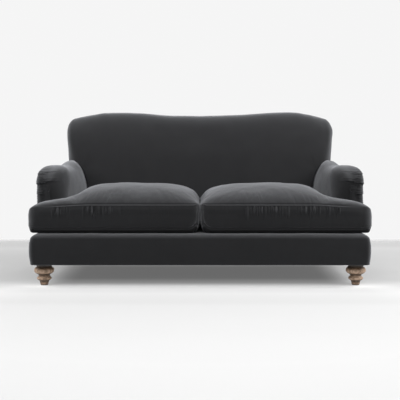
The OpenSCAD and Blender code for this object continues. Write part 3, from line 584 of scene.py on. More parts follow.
# gathers of the arm front: a line from the outer edge inwards as (x, z) points, its height, and how far it
# swells above the line and below it, all in millimetres; a long swell above and a short one below lap the upper layer
# over the lower
PLEATS = [
    ([(.8380, .4990), (.8186, .5062), (.7843, .5116), (.7341, .5163)], 7.2, 24, 1.3),
    ([(.8300, .5180), (.7900, .5240), (.7380, .5262)], 1.5, 7, 1.3),
    ([(.8150, .5520), (.7860, .5600), (.7380, .5640)], 2.0, 12, 1.3),
    ([(.8000, .5740), (.7780, .5800), (.7420, .5820)], 1.2, 8, 1.3),
    ([(.8380, .4480), (.8150, .4500), (.7980, .4510)], 3.4, 11, 1.2),
    ([(.8300, .4700), (.8000, .4730), (.7720, .4750)], 1.6, 7, 1.2),
    ([(.8330, .4830), (.8080, .4860), (.7700, .4885)], 1.5, 6, 1.2),
    ([(.8330, .4590), (.8080, .4605)], 1.4, 5, 1.2),
]
N_MAIN = len(PLEATS)


def arm(name, seed):
    g = np.random.default_rng(seed)
    To = np.concatenate([np.linspace(0, 0.45, 40, endpoint=False), np.linspace(0.45, 1, 100)])
    Ta = np.concatenate([To, np.linspace(1, 1.5, 105)[1:-1], np.linspace(1.5, 2, 47)[:-1], 3 - To[::-1]])
    m = len(Ta)
    # how far the front rounds over, inwards and backwards, round the outline
    rq = look(Ta, [(0, .030), (.9, .036), (1.1, .048), (1.25, .068), (1.4, .094), (1.5, .103), (1.65, .098), (1.8, .096), (1.9, .090), (2.0, .078), (2.4, .059), (3, .050)])
    ry = look(Ta, [(0, .028), (.9, .032), (1.1, .044), (1.25, .086), (1.4, .140), (1.5, .165), (1.65, .158), (1.8, .140), (1.9, .122), (2.0, .105), (2.4, .070), (3, .060)])
    rn = look(Ta, [(0, 2.0), (1.05, 2.0), (1.2, 1.78), (1.5, 1.76), (1.7, 1.82), (1.8, 1.92), (1.9, 2.0), (3, 2.0)])
    y0 = A_F + look(Ta, [(0, .001), (1.0, .0005), (1.5, 0.0), (2.0, .001), (3, .002)])
    cxm = 0.776
    rows, tag_q, tag_y = [], [], []

    def place(y, q, k=None):
        if k is not None:
            y = lerp(y, A_F - 0.0030, k * k)
        px, pz = arm_profile(Ta, y)
        ccz = np.minimum(pz, 0.462)
        L = np.hypot(px - cxm, pz - ccz)
        if k is not None:
            q = q + (L - q) * k
        f = q / L
        rows.append(np.column_stack([px + (cxm - px) * f, y, pz + (ccz - pz) * f]))
        tag_q.append(q)
        tag_y.append(y - y0)

    for k in np.linspace(1, 0, 56, endpoint=False):     # the flat of the face, from its middle outwards
        place(y0 - 0.0030 * math.sin(math.pi / 2 * k) ** 2, rq, k)
    for ph in np.linspace(90, 0, 56, endpoint=False):
        w = math.radians(ph)
        place(y0 + ry * (1 - math.sin(w) ** (2 / rn)), rq * (1 - math.cos(w) ** (2 / rn)))
    near = np.linspace(0, 0.10, 14, endpoint=False)
    far = np.linspace(0.10, 1, 62)
    for k in np.concatenate([near, far]):
        y = lerp(y0 + ry, 0.40, k)
        x, z = arm_profile(Ta, y)
        yy = np.where(y > 0.2, lerp(y, y + (yout(z) - 0.003 - 0.40), smooth(0.2, 0.4, y)), y)
        rows.append(np.column_stack([x, yy, z]))
        tag_q.append(np.zeros(m))
        tag_y.append(y - y0)
    P = np.array(rows)
    n = len(rows)
    nr = grid_normals(P)
    c = P.reshape(-1, 3)
    out = nr.reshape(-1, 3)
    axis_pt = np.column_stack([np.full(len(c), 0.75), np.clip(c[:, 1], -0.21, 0.4), np.clip(c[:, 2], 0.27, 0.50)])
    if np.mean(np.sum(out * (c - axis_pt), axis=1)) < 0:
        out = -out
    x, z = c[:, 0], c[:, 2]
    yd = np.array(tag_y).ravel()
    TT = np.tile(Ta, n)
    d = np.zeros(len(c))
    outer = smooth(1.62, 1.45, TT) * smooth(0.060, 0.022, yd)
    wide = np.where(z > 0.468, smooth(2.30, 1.95, TT), smooth(1.5, 1.45, TT)) * smooth(0.075, 0.030, yd)
    low = 1 - (1 - smooth(0.780, 0.797, x)) * smooth(0.478, 0.456, z)
    lines = list(PLEATS)
    # small gathers along the outer edge
    zz = 0.286
    while zz < 0.575:
        reach = g.uniform(0.016, 0.044)
        xe = 0.836 if zz < 0.50 else 0.836 - 0.9 * (zz - 0.50) ** 2 / 0.12
        lines.append(([(xe, zz), (xe - reach, zz + g.uniform(0.0, 0.004))], g.uniform(1.3, 2.8), g.uniform(4.0, 7.5), g.uniform(0.9, 1.4)))
        zz += g.uniform(0.0085, 0.0145)
    for i, (pts, amp, up, down) in enumerate(lines):
        q = np.array(sorted(pts))
        zl = np.interp(x, q[:, 0], q[:, 1])
        wob = noise(np.column_stack([x * 60, yd * 25, np.full(len(c), i + seed * 3.1)]), 40 + i) * (0.0011 if i else 0.0006)
        s = (z - zl - wob) / MM
        fold = np.where(s > 0, np.exp(-s / up), np.exp(s / down))
        groove = 0.30 * np.exp(-(((s + 1.6 * down) / (1.2 * down + 0.4)) ** 2))
        a0 = q[0, 0]
        inward = smooth(a0 - 0.018, a0 + 0.014, x) if i < N_MAIN else smooth(a0 - 0.008, a0 + 0.006, x)
        d += amp * MM * (fold - groove) * inward * low * (wide if i < N_MAIN else outer)
    # gentle swell of the padding
    d += fbm(c * np.array([11.0, 7.5, 11.0]), 50 + seed, 3) * 0.0013
    d += fbm(c * np.array([30.0, 12.0, 30.0]), 60 + seed, 2) * 0.0003
    # a soft pull line where the crest turns into the inside of the arm
    pull = c[:, 1] * 0.30 + 0.600 - z
    d += -0.0012 * np.exp(-(pull / 0.012) ** 2) * smooth(1.5, 1.75, TT) * smooth(2.4, 2.05, TT) * smooth(-0.20, -0.12, c[:, 1]) * smooth(0.10, -0.04, c[:, 1])
    foot = smooth(AZ0, AZ0 + 0.02, z)
    P2 = (c + out * (d * foot)[:, None]).reshape(n, m, 3)
    # the two halves of the face meet on one line
    P2[0] = (P2[0] + P2[0][::-1]) / 2
    hub = (Ta > 0.9) & (Ta < 2.1)
    P2[0][hub] = P2[0][hub].mean(0)
    # close the foot and the rear end
    a, b = P2[:, -1], P2[:, 0]
    under = [a + (b - a) * t for t in (0.25, 0.5, 0.75)]
    P3 = np.concatenate([P2] + [u[:, None, :] for u in under], axis=1)
    mm = P3.shape[1]
    F = [grid_faces(n, mm, wrap_m=True)]
    last = P3[-1]
    cen = np.column_stack([np.full(mm, 0.73), last[:, 1], np.clip(last[:, 2], AZ0, 0.50)])
    ends = [last + (cen - last) * t for t in (0.35, 0.7, 1.0)]
    V = np.concatenate([P3.reshape(-1, 3)] + ends)
    F.append(grid_faces(4, mm, wrap_m=True, start=(n - 1) * mm))
    return mesh_from(name, V, np.vstack(F), weld=2e-5)


def side_panel(name, seed):
    """Outside panel of an arm: a stretched cover with turned-in edges."""
    ys = np.linspace(0, 1, 90)
    zs_ = np.linspace(0, 1, 44)
    S, Tz = np.meshgrid(ys, zs_, indexing="ij")
    y = lerp(-0.236, 0.40, S)
    top = look(y, ZS) + 0.004
    z = lerp(AZ0 + 0.0005, top, Tz)
    yy = np.where(y > 0.2, y + (yout(z) - 0.001 - 0.40) * smooth(0.2, 0.4, y), y)
    x = look(y, XO)
    e = np.minimum.reduce([(yy + 0.236), (yout(z) - 0.001 - yy), (z - AZ0), (top - z)])
    e = np.clip(e, 0, None)
    h = 0.0030 * np.sqrt(np.clip(1 - (1 - np.clip(e / 0.007, 0, 1)) ** 2, 0, 1))
    pts = np.stack([x, yy, z], -1)
    c = pts.reshape(-1, 3)
    puck = noise(np.column_stack([yy.ravel() * 90, z.ravel() * 20, np.full(c.shape[0], seed)]), 71) * 0.0006 * np.exp(-(top - z).ravel() / 0.02)
    swell = 0.0025 * (np.sin(np.pi * S) * np.sin(np.pi * Tz)).ravel() + fbm(c * 7, 73 + seed, 3) * 0.0009
    xo = x + 0.0004 + h + (puck + swell).reshape(h.shape) * smooth(0, 0.02, e)
    A = np.stack([xo, yy, z], -1)
    B = np.stack([x - 0.0022, yy, z], -1)
    n, m = S.shape
    V = np.concatenate([A.reshape(-1, 3), B.reshape(-1, 3)])
    F = [grid_faces(n, m), grid_faces(n, m, start=n * m)[:, ::-1]]
    N = n * m
    for i in range(n - 1):
        F.append(np.array([[i * m, N + i * m, N + (i + 1) * m, (i + 1) * m], [i * m + m - 1, (i + 1) * m + m - 1, N + (i + 1) * m + m - 1, N + i * m + m - 1]]))
    for j in range(m - 1):
        F.append(np.array([[j, j + 1, N + j + 1, N + j], [(n - 1) * m + j, N + (n - 1) * m + j, N + (n - 1) * m + j + 1, (n - 1) * m + j + 1]]))
    return mesh_from(name, V, np.vstack(F))


# ------------------------------------------------------------------ back
def arm_top_at(x):
    return 0.425 + 0.188 * np.sqrt(np.clip(1 - ((np.abs(x) - 0.7295) / 0.0885) ** 2, 0, 1))


def back_section(x, k):
    """Closed section (y, z) of the back at x, as an open run from the front foot over the top to the rear foot."""
    ax = abs(x)
    zt = float(back_zt(ax))
    z0 = 0.267 if ax < 0.640 else max(0.267, float(arm_top_at(max(ax, 0.6415))) - 0.014)
    s = np.clip((ax - 0.694) / 0.076, 0, 1)
    off = 0.135 * (1 - math.sqrt(max(0, 1 - s * s)))
    s2 = np.clip((ax - 0.752) / 0.018, 0, 1)
    rear_off = 0.016 * (1 - math.sqrt(max(0, 1 - s2 * s2)))
    yt = 0.368
    z1 = 0.615
    ya = 0.186 + off                      # front surface at z1
    n1, n2, n3, n4 = 34, 46, 26, 16
    t = np.linspace(0, 1, n1, endpoint=False)
    zl = lerp(z0, z1, t)
    yl = 0.107 + off + (zl - 0.267) * (0.186 - 0.107) / (z1 - 0.267)
    if z0 >= z1 - 0.004:
        zl = lerp(z0, z0 + 0.006, t)
        yl = np.full(n1, ya)
        z1 = z0 + 0.006
    # the crown leaves the leaning lower part without a break
    th = np.linspace(0, math.pi / 2, n2, endpoint=False)
    zq = z1 + (zt - z1) * np.sin(th)
    lean = 0.227 * smooth(z1 + (zt - z1), z1, zq) * float(smooth(0.765, 0.70, ax))
    yl1 = ya + np.concatenate([[0], np.cumsum((lean[1:] + lean[:-1]) / 2 * np.diff(zq))])
    k = 1 - np.cos(th)
    yq = yl1 + (yt - yl1) * k ** 1.02
    zr = zt - 0.062
    yr = float(yout(zr)) - 0.002 - rear_off
    th = np.linspace(0, math.pi / 2, n3, endpoint=False)
    y3 = yt + (yr - yt) * np.sin(th)
    z3 = zr + (zt - zr) * np.cos(th)
    z4 = lerp(zr, z0, np.linspace(0, 1, n4))
    y4 = yout(z4) - 0.004 - rear_off + 0.002 * (1 - smooth(0, 0.03, zr - z4))
    return np.column_stack([np.concatenate([yl, yq, y3, y4]), np.concatenate([zl, zq, z3, z4])])


def back_piece():
    xs = list(np.linspace(0, 0.640, 92)) + list(np.linspace(0.6405, 0.6445, 3)) + list(np.linspace(0.650, 0.734, 16))
    xs += list(0.734 + 0.036 * np.sin(np.linspace(0.05, math.pi / 2, 22)))
    xs = np.array(xs)
    full = np.concatenate([-xs[::-1], xs[1:]])
    secs = [back_section(x, 0) for x in full]
    P = np.array([np.column_stack([np.full(len(s), x), s]) for x, s in zip(full, secs)])
    n, m, _ = P.shape
    nr = grid_normals(P)
    c = P.reshape(-1, 3)
    out = nr.reshape(-1, 3)
    ref = np.column_stack([c[:, 0] * 0.9, np.full(len(c), 0.36), np.clip(c[:, 2], 0.3, 0.78)])
    if np.mean(np.sum(out * (c - ref), axis=1)) < 0:
        out = -out
    d = fbm(c * np.array([3.6, 3.6, 4.4]), 81, 3) * 0.0026
    d += fbm(c * np.array([11, 9, 7.0]), 85, 2) * 0.0007
    # the lower part swells a little between the arms
    d += 0.006 * smooth(0.72, 0.50, np.abs(c[:, 0])) * np.exp(-((c[:, 2] - 0.50) / 0.14) ** 2) * (c[:, 1] < 0.30)
    # pull lines that fan out where the back tucks down beside the arms
    for sx in (-1, 1):
        for k, (ang, amp) in enumerate([(38, 1.0), (52, 0.8), (66, 0.9), (24, 0.6)]):
            w = math.radians(ang)
            ox, oz = sx * 0.668, 0.560
            ux, uz = -sx * math.cos(w), math.sin(w)
            rx, rz = c[:, 0] - ox, c[:, 2] - oz
            al = rx * ux + rz * uz
            ac = rx * uz - rz * ux * 1.0
            d += -0.0016 * amp * np.exp(-(ac / (0.004 + 0.03 * np.clip(al, 0, 1))) ** 2) * smooth(0.0, 0.015, al) * smooth(0.15, 0.03, al) * (c[:, 1] < 0.30)
    keep = smooth(0.267, 0.285, c[:, 2])
    c = c.copy()
    slack = smooth(0.58, 0.73, c[:, 0]) * smooth(0.775, 0.825, c[:, 2])
    c[:, 0] -= 0.0036 * slack
    c[:, 2] -= 0.0020 * slack
    c[:, 0] *= look(c[:, 2], [(0.26, 0.978), (0.56, 0.983), (0.62, 0.989), (0.66, 0.992), (0.70, 0.996), (0.75, 1.0025), (0.79, 1.0062), (0.82, 1.0050), (0.855, 1.0040), (0.90, 1.0030)])
    P2 = (c + out * (d * keep)[:, None]).reshape(n, m, 3)
    # close each section's foot
    a, b = P2[:, -1], P2[:, 0]
    under = [a + (b - a) * t for t in (0.25, 0.5, 0.75)]
    P3 = np.concatenate([P2] + [u[:, None, :] for u in under], axis=1)
    mm = P3.shape[1]
    V = [P3.reshape(-1, 3)]
    F = [grid_faces(n, mm, wrap_m=True)]
    count = n * mm
    for row, first in ((P3[0], True), (P3[-1], False)):
        cy = 0.36 + 0 * row[:, 1]
        zmin, zmax = row[:, 2].min(), row[:, 2].max()
        cen = np.column_stack([row[:, 0], cy, np.clip(row[:, 2], zmin + 0.02, zmax - 0.05)])
        sgn = -1 if first else 1
        ends = []
        for t in (0.12, 0.3, 0.6, 1.0):
            e = row + (cen - row) * t
            e[:, 0] = row[:, 0] + sgn * 0.0012 * math.sin(math.pi / 2 * min(1, t * 1.2))
            ends.append(e)
        V.extend(ends)
        ring0 = 0 if first else (n - 1) * mm
        idx = np.arange(mm)
        prev = ring0 + idx
        for e in ends:
            cur = count + idx
            f = np.stack([prev, np.roll(prev, -1), np.roll(cur, -1), cur], -1)
            F.append(f)
            prev = cur
            count += mm
    return mesh_from("back_cushioning", np.concatenate(V), np.vstack(F), weld=2e-5)


def outside_back():
    """Stretched panel on the rear, with turned-in edges."""
    ns, nt = 200, 96
    rows = []
    zlo = 0.2660
    for k in range(nt):
        t = k / (nt - 1)
        row = []
        # width follows the arms below and the back above
        if t < 0.60:
            z = lerp(zlo, 0.590, t / 0.60)
            w = 0.7295 + 0.086 * math.sqrt(1 - (max(z - 0.425, 0) / 0.186) ** 2)
            rows.append((z, w, None))
        else:
            u = (t - 0.60) / 0.40
            rows.append((None, None, u))
    xs = np.linspace(-1, 1, ns)
    P = np.zeros((nt, ns, 3))
    E = np.zeros((nt, ns))
    for k, (z, w, u) in enumerate(rows):
        if u is None:
            x = xs * w
            zz = np.full(ns, z)
            e = np.minimum(w - np.abs(x), z - zlo)
        else:
            w = lerp(0.7692, 0.7600, smooth(0, 0.02, u))
            x = xs * w
            top = back_zt(np.minimum(np.abs(x), 0.7615)) - 0.058
            zz = lerp(0.592, top, u)
            e = np.minimum(w - np.abs(x), top - zz)
        P[k, :, 0] = x
        P[k, :, 2] = zz
        E[k] = e
    z = P[:, :, 2]
    h = 0.0034 * np.sqrt(np.clip(1 - (1 - np.clip(E / 0.008, 0, 1)) ** 2, 0, 1))
    c = P.reshape(-1, 3)
    swell = (fbm(c * np.array([3.0, 3.0, 3.6]), 91, 3) * 0.0016).reshape(E.shape) + 0.003 * smooth(0, 0.25, E)
    puck = (noise(np.column_stack([c[:, 0] * 70, c[:, 2] * 8, c[:, 0] * 0]), 93) * 0.0007).reshape(E.shape) * np.exp(-E / 0.02)
    base = yout(z) - 0.0005
    A = P.copy()
    A[:, :, 1] = base + h + (swell + puck) * smooth(0, 0.03, E)
    B = P.copy()
    B[:, :, 1] = base - 0.0025
    n, m = nt, ns
    N = n * m
    F = [grid_faces(n, m), grid_faces(n, m, start=N)[:, ::-1]]
    i = np.arange(n - 1)
    j = np.arange(m - 1)
    F.append(np.stack([i * m, N + i * m, N + (i + 1) * m, (i + 1) * m], -1))
    F.append(np.stack([i * m + m - 1, (i + 1) * m + m - 1, N + (i + 1) * m + m - 1, N + i * m + m - 1], -1))
    F.append(np.stack([j, j + 1, N + j + 1, N + j], -1))
    F.append(np.stack([(n - 1) * m + j, N + (n - 1) * m + j, N + (n - 1) * m + j + 1, (n - 1) * m + j + 1], -1))
    return mesh_from("outside_back", np.concatenate([A.reshape(-1, 3), B.reshape(-1, 3)]), np.vstack(F))


# ------------------------------------------------------------------ seat cushions
CX0, CXE, CYF, CYR, CYE = 0.0040, 0.8450, -0.4620, 0.1015, -0.2885
Z_BOT, Z_SEAM_B = 0.2665, 0.2935
CROWN = [(0, .0), (.0035, .003), (.0079, .012), (.0184, .033), (.029, .046), (.0395, .0537), (.050, .0597), (.0711, .068), (.1027, .076), (.134, .0807),
         (.166, .0855), (.1975, .0873), (.229, .0880), (.2607, .0880), (.2923, .0883), (.324, .0900), (.3556, .0912), (.387, .0920), (.419, .0912), (.450, .0888),
         (.4714, .0877), (.4925, .0866), (.514, .0850), (.535, .0820), (.556, .0776), (.577, .0718), (.598, .0626), (.620, .0520), (.640, .0435), (.664, .035),
         (.70, .0285), (.75, .0230), (.786, .0180), (.815, .0110), (.834, .0045), (.8450, .0)]


def seam_top(x):
    return look(x, [(0, .409), (.55, .409), (.70, .4020), (.80, .3968), (.8300, .3915), (.8450, .3840)])


def main_side(y):
    return look(y, [(-.281, .684), (-.12, .669), (.04, .650), (.15, .641), (.5, .641)]) - 0.0065


def cushion(name, seed, creases):
    nx1, nx2, ny1, ny2 = 132, 30, 24, 42
    idx = -np.ones((nx1 + nx2 + 1, ny1 + ny2 + 1), int)
    uv = []
    for i in range(nx1 + nx2 + 1):
        for j in range(ny1 + ny2 + 1):
            if i > nx1 and j > ny1:
                continue
            idx[i, j] = len(uv)
            uv.append((i, j))
    uv = np.array(uv)
    I, J = uv[:, 0].astype(float), uv[:, 1].astype(float)
    y = np.where(J <= ny1, lerp(CYF, CYE, (np.minimum(J, ny1) / ny1) ** 1.35), lerp(CYE, CYR, (J - ny1) / ny2))
    # main part's outer side leans in towards the back
    xm = np.where(y < CYE, main_side(CYE), main_side(y))
    x = np.where(I <= nx1, lerp(CX0, xm, I / nx1), lerp(main_side(CYE), CXE, (I - nx1) / nx2))
    # round the plan's convex corners
    def round_corner(cx, cy, sx, sy, R):
        a = (R - sx * (x - cx)) / R
        b = (R - sy * (y - cy)) / R
        k = (a > 0) & (b > 0)
        aa, bb = np.clip(a, 0, 1), np.clip(b, 0, 1)
        na = aa * np.sqrt(1 - bb * bb / 2)
        nb = bb * np.sqrt(1 - aa * aa / 2)
        x[k] = (cx + sx * (R - na * R))[k]
        y[k] = (cy + sy * (R - nb * R))[k]

    round_corner(CX0, CYF, 1, 1, 0.030)
    round_corner(CXE, CYF, -1, 1, 0.042)
    round_corner(CXE, CYE, -1, -1, 0.034)
    round_corner(CX0, CYR, 1, -1, 0.028)
    round_corner(main_side(CYR), CYR, -1, -1, 0.028)
    # heights of the top panel
    v = np.clip((y - CYF) / (CYR - CYF), 0, 1)
    hm = (1 - np.abs(2 * v - 1) ** 2.3) ** 0.62
    ve = np.clip((y - CYF) / (CYE - CYF), 0, 1)
    he = (1 - np.abs(2 * ve - 1) ** 3.0) ** 0.55
    bl = smooth(0.60, 0.70, x)
    h = lerp(hm, he, bl)
    H = look(x, CROWN)
    side_gap = np.clip(main_side(y) - x, 0, 1)
    drop = np.where(y > CYE, (1 - np.exp(-side_gap / 0.018)) * 0.9 + 0.1 * smooth(0, 0.05, side_gap), 1)
    zt = seam_top(x) + H * h * drop
    top = np.column_stack([x, y, zt])
    # border, in order round the plan
    bord = [idx[i, 0] for i in range(nx1 + nx2 + 1)] + [idx[nx1 + nx2, j] for j in range(1, ny1 + 1)] + [idx[i, ny1] for i in range(nx1 + nx2 - 1, nx1 - 1, -1)]
    bord += [idx[nx1, j] for j in range(ny1 + 1, ny1 + ny2 + 1)] + [idx[i, ny1 + ny2] for i in range(nx1 - 1, -1, -1)] + [idx[0, j] for j in range(ny1 + ny2 - 1, 0, -1)]
    bord = np.array(bord)
    B = top[bord].copy()
    tang = np.roll(B, -1, 0) - np.roll(B, 1, 0)
    nrm = np.column_stack([tang[:, 1], -tang[:, 0]])
    nrm /= np.linalg.norm(nrm, axis=1, keepdims=True)
    corners = np.array([[CX0, CYF], [CXE, CYF], [CXE, CYE], [CX0, CYR], [main_side(CYR), CYR]])
    cd = np.min(np.linalg.norm(B[:, None, :2] - corners[None], axis=2), axis=1)
    cf = np.exp(-((cd / 0.034) ** 2))
    # boxing rows from the top seam to the bottom seam
    rows = 22
    box = []
    near_split = smooth(0.08, 0.02, B[:, 0])
    endf = smooth(0.80, 0.8450, B[:, 0]) * (B[:, 1] < CYE + 0.02)
    zb = Z_SEAM_B + 0.004 * cf + 0.020 * cf * near_split
    free = 1 - 0.75 * (nrm[:, 0] < -0.5)
    for k in range(1, rows + 1):
        t = k / rows
        t = t - 0.105 * math.sin(2 * math.pi * t)
        bulge = (0.0040 + 0.0020 * endf) * math.sin(math.pi * min(max(t, 0), 1)) ** 0.7 * free + 0.0034 * endf * float(smooth(0.6, 1.0, t))
        u = max(0.0, (t - 0.80) / 0.20)
        u2 = max(0.0, (t - 0.55) / 0.45)
        inset = 0.0030 * (1 - endf) * u * u + 0.010 * cf * near_split * u2 * u2
        p = np.column_stack([B[:, :2] + nrm * (bulge - inset)[:, None], lerp(B[:, 2], zb, t)])
        box.append(p)
    # bottom panel, which rounds over from the lower seam
    last = box[-1]
    d2 = ((x[:, None] - B[None, :, 0]) ** 2 + (y[:, None] - B[None, :, 1]) ** 2)
    near = np.argmin(d2, axis=1)
    e = np.sqrt(d2[np.arange(len(x)), near])
    shift = (last[:, :2] - B[:, :2])[near] * np.exp(-e / 0.03)[:, None]
    r = (0.021 - 0.007 * endf + cf * (0.005 * (1 - endf) + 0.016 * near_split))[near]
    zn = zb[near]
    k = 1 - np.clip(e / r, 0, 1)
    bot = np.column_stack([x + shift[:, 0], y + shift[:, 1], Z_BOT + (zn - Z_BOT) * (1 - np.sqrt(np.clip(1 - k * k, 0, 1)))])
    bpos = {int(b): k for k, b in enumerate(bord)}
    inner = np.array([k for k in range(len(x)) if k not in bpos])
    # vertices: top, boxing rows, bottom inner
    nb = len(bord)
    V = [top] + box + [bot[inner]]
    top_n = len(top)
    base_bot = top_n + rows * nb
    bmap = -np.ones(len(x), int)
    bmap[inner] = base_bot + np.arange(len(inner))
    bmap[bord] = top_n + (rows - 1) * nb + np.arange(nb)
    F = []
    for i in range(nx1 + nx2):
        for j in range(ny1 + ny2):
            if i >= nx1 and j >= ny1:
                continue
            q = (idx[i, j], idx[i + 1, j], idx[i + 1, j + 1], idx[i, j + 1])
            F.append(q)
            F.append(tuple(int(bmap[k]) for k in q[::-1]))
    ring = [bord] + [top_n + k * nb + np.arange(nb) for k in range(rows)]
    for a, b in zip(ring[:-1], ring[1:]):
        F.extend(np.stack([a, b, np.roll(b, -1), np.roll(a, -1)], -1).tolist())
    o = mesh_from(name, np.concatenate(V), np.array(F))
    pins = [int(k) for k in bord] + [int(k) for k in ring[-1]] + [int(k) for k in bmap[inner]]
    # base position of the bottom stays put
    seams = {"top": ring[0].tolist(), "bottom": ring[-1].tolist()}
    return o, pins, seams, (nrm, cf)


def simulate(o, pins, pressure, frames, cap, shrink=-0.012, soft_pins=()):
    """Inflates a stuffed cover between its pinned seams, and keeps every point within cap of where it began."""
    start = coords(o)
    g = o.vertex_groups.new(name="pins")
    g.add(pins, 1.0, "REPLACE")
    md = o.modifiers.new("cloth", "CLOTH")
    s = md.settings
    s.quality = 6
    s.mass = 0.25
    s.tension_stiffness = s.compression_stiffness = 14
    s.shear_stiffness = 6
    s.bending_stiffness = 0.35
    s.use_pressure = True
    s.uniform_pressure_force = pressure
    s.shrink_min = shrink
    s.shrink_max = shrink
    s.effector_weights.gravity = 0
    s.vertex_group_mass = "pins"
    md.collision_settings.use_collision = False
    md.point_cache.frame_start = 1
    md.point_cache.frame_end = frames
    for f in range(1, frames + 1):
        scene.frame_set(f)
    dg = bpy.context.evaluated_depsgraph_get()
    ev = o.evaluated_get(dg)
    a = np.empty(len(ev.data.vertices) * 3)
    ev.data.vertices.foreach_get("co", a)
    got = a.reshape(-1, 3)
    o.modifiers.remove(md)
    scene.frame_set(1)
    d = got - start
    # the start shape already has the stuffed size, so most of the even swelling is taken out and the folds stay
    E = np.empty(len(o.data.edges) * 2, np.int64)
    o.data.edges.foreach_get("vertices", E)
    E = E.reshape(-1, 2)
    count = np.bincount(E.ravel(), minlength=len(d))[:, None]
    even = d.copy()
    for _ in range(24):
        total = np.zeros_like(even)
        np.add.at(total, E[:, 0], even[E[:, 1]])
        np.add.at(total, E[:, 1], even[E[:, 0]])
        even = total / count
    even[pins] = 0
    d = 0.12 * even + 0.34 * (d - even)
    d[pins] = 0
    ln = np.linalg.norm(d, axis=1, keepdims=True)
    d *= np.minimum(1, cap / np.maximum(ln, 1e-9))
    set_coords(o, start + d)
    return float(ln.max())


def subdivide(o, levels=1):
    md = o.modifiers.new("sub", "SUBSURF")
    md.levels = md.render_levels = levels
    md.boundary_smooth = "PRESERVE_CORNERS"
    dg = bpy.context.evaluated_depsgraph_get()
    me = bpy.data.meshes.new_from_object(o.evaluated_get(dg))
    o.modifiers.clear()
    old = o.data
    o.data = me
    bpy.data.meshes.remove(old)
    me.polygons.foreach_set("use_smooth", np.ones(len(me.polygons), bool))


def finish_cushion(o, seams_xyz, seed, creases):
    """Seam grooves, gathers on the boxing and creases on the top panel."""
    top, bottom = seams_xyz
    V = coords(o)
    N = vertex_normals(o)
    kt, kb = KDTree(len(top)), KDTree(len(bottom))
    for i, p in enumerate(top):
        kt.insert(p, i)
    for i, p in enumerate(bottom):
        kb.insert(p, i)
    kt.balance()
    kb.balance()
    L = np.linalg.norm(np.roll(top, -1, 0) - top, axis=1)
    S = np.concatenate([[0], np.cumsum(L)])[:-1]
    dt = np.empty(len(V))
    st = np.empty(len(V))
    zt = np.empty(len(V))
    db = np.empty(len(V))
    for i, p in enumerate(V):
        co, k, dd = kt.find(p)
        dt[i], st[i], zt[i] = dd, S[k], co.z
        _, _, db[i] = kb.find(p)
    z = V[:, 2]
    below = smooth(0.002, -0.004, z - zt)          # on the boxing
    d = np.zeros(len(V))
    # groove of the top seam, with the seam allowance standing just under it
    far_end = 1 - 0.8 * smooth(0.70, 0.80, np.abs(V[:, 0]))
    d += -0.0011 * np.exp(-((dt / 0.0020) ** 2)) * far_end
    d += 0.0014 * np.exp(-(((dt - 0.0060) / 0.0040) ** 2)) * below * far_end
    d += 0.0052 * (1 - np.exp(-dt / 0.010)) * smooth(0.050, 0.024, dt) * below * (V[:, 1] < -0.30) * smooth(0.825, 0.770, np.abs(V[:, 0]))
    d += 0.0006 * np.exp(-(((dt - 0.008) / 0.006) ** 2)) * (1 - below)
    d += -0.0016 * np.exp(-((db / 0.0022) ** 2)) + 0.0009 * np.exp(-(((db - 0.0050) / 0.0035) ** 2))
    # puckers that run off the seams
    pk = noise(np.column_stack([st * 62, z * 3, np.full(len(V), seed)]), 110 + seed)
    d += 0.00075 * pk * np.exp(-dt / 0.020)
    pk2 = noise(np.column_stack([st * 48, z * 3, np.full(len(V), seed + 9)]), 120 + seed)
    d += 0.0006 * pk2 * np.exp(-db / 0.016)
    # upright gathers on the boxing
    front = (V[:, 1] < -0.44) & (z < zt + 0.004)
    for (cx, amp, width, length, tilt) in creases["box"]:
        u = np.abs(V[:, 0]) - cx - tilt * (z - zt)
        dz = zt - z
        run = smooth(0.006, 0.016, dz) * smooth(length, length * 0.5, dz) * front
        d += amp * (0.75 * np.exp(-(((u - 1.6 * width) / (1.2 * width)) ** 2)) - np.exp(-((u / width) ** 2))) * run
    # creases of the top panel near the front
    onto = (z > zt - 0.001)
    for (cx, cy, ang, length, amp, width) in creases["top"]:
        w = math.radians(ang)
        ux, uy = math.cos(w), math.sin(w)
        rx, ry = np.abs(V[:, 0]) - cx, V[:, 1] - cy
        al, ac = rx * ux + ry * uy, -rx * uy + ry * ux
        ac = ac - 0.12 * al * al / max(length, 0.01) * (1 if (cx * 1000) % 2 > 1 else -1)
        env = smooth(length * 0.5, length * 0.1, np.abs(al)) * onto
        d += -amp * np.exp(-((ac / width) ** 2)) * env + 0.6 * amp * np.exp(-(((ac - 2.0 * width) / (1.4 * width)) ** 2)) * env
    # broad softness
    d += fbm(V * np.array([9.0, 9.0, 9.0]), 130 + seed, 3) * 0.0013 * smooth(0.272, 0.30, z)
    V = V + N * d[:, None]
    # the ears' front and end edges are stuffed round, so their seam hardly shows
    E = np.empty(len(o.data.edges) * 2, np.int64)
    o.data.edges.foreach_get("vertices", E)
    E = E.reshape(-1, 2)
    round_off = (0.85 * smooth(0.70, 0.79, np.abs(V[:, 0])) * smooth(0.032, 0.006, dt) * (V[:, 1] < -0.33))[:, None]
    count = np.bincount(E.ravel(), minlength=len(V))[:, None]
    for _ in range(26):
        total = np.zeros_like(V)
        np.add.at(total, E[:, 0], V[E[:, 1]])
        np.add.at(total, E[:, 1], V[E[:, 0]])
        V = V + (total / count - V) * round_off
    off = np.maximum.reduce([0 * V[:, 0], np.abs(np.abs(V[:, 0]) - 0.32) - 0.225, np.abs(V[:, 2] - 0.342) - 0.018])
    V[:, 1] = np.where(V[:, 1] > 0.09, np.minimum(V[:, 1], 0.1040 + 0.22 * off), V[:, 1])
    set_coords(o, V)


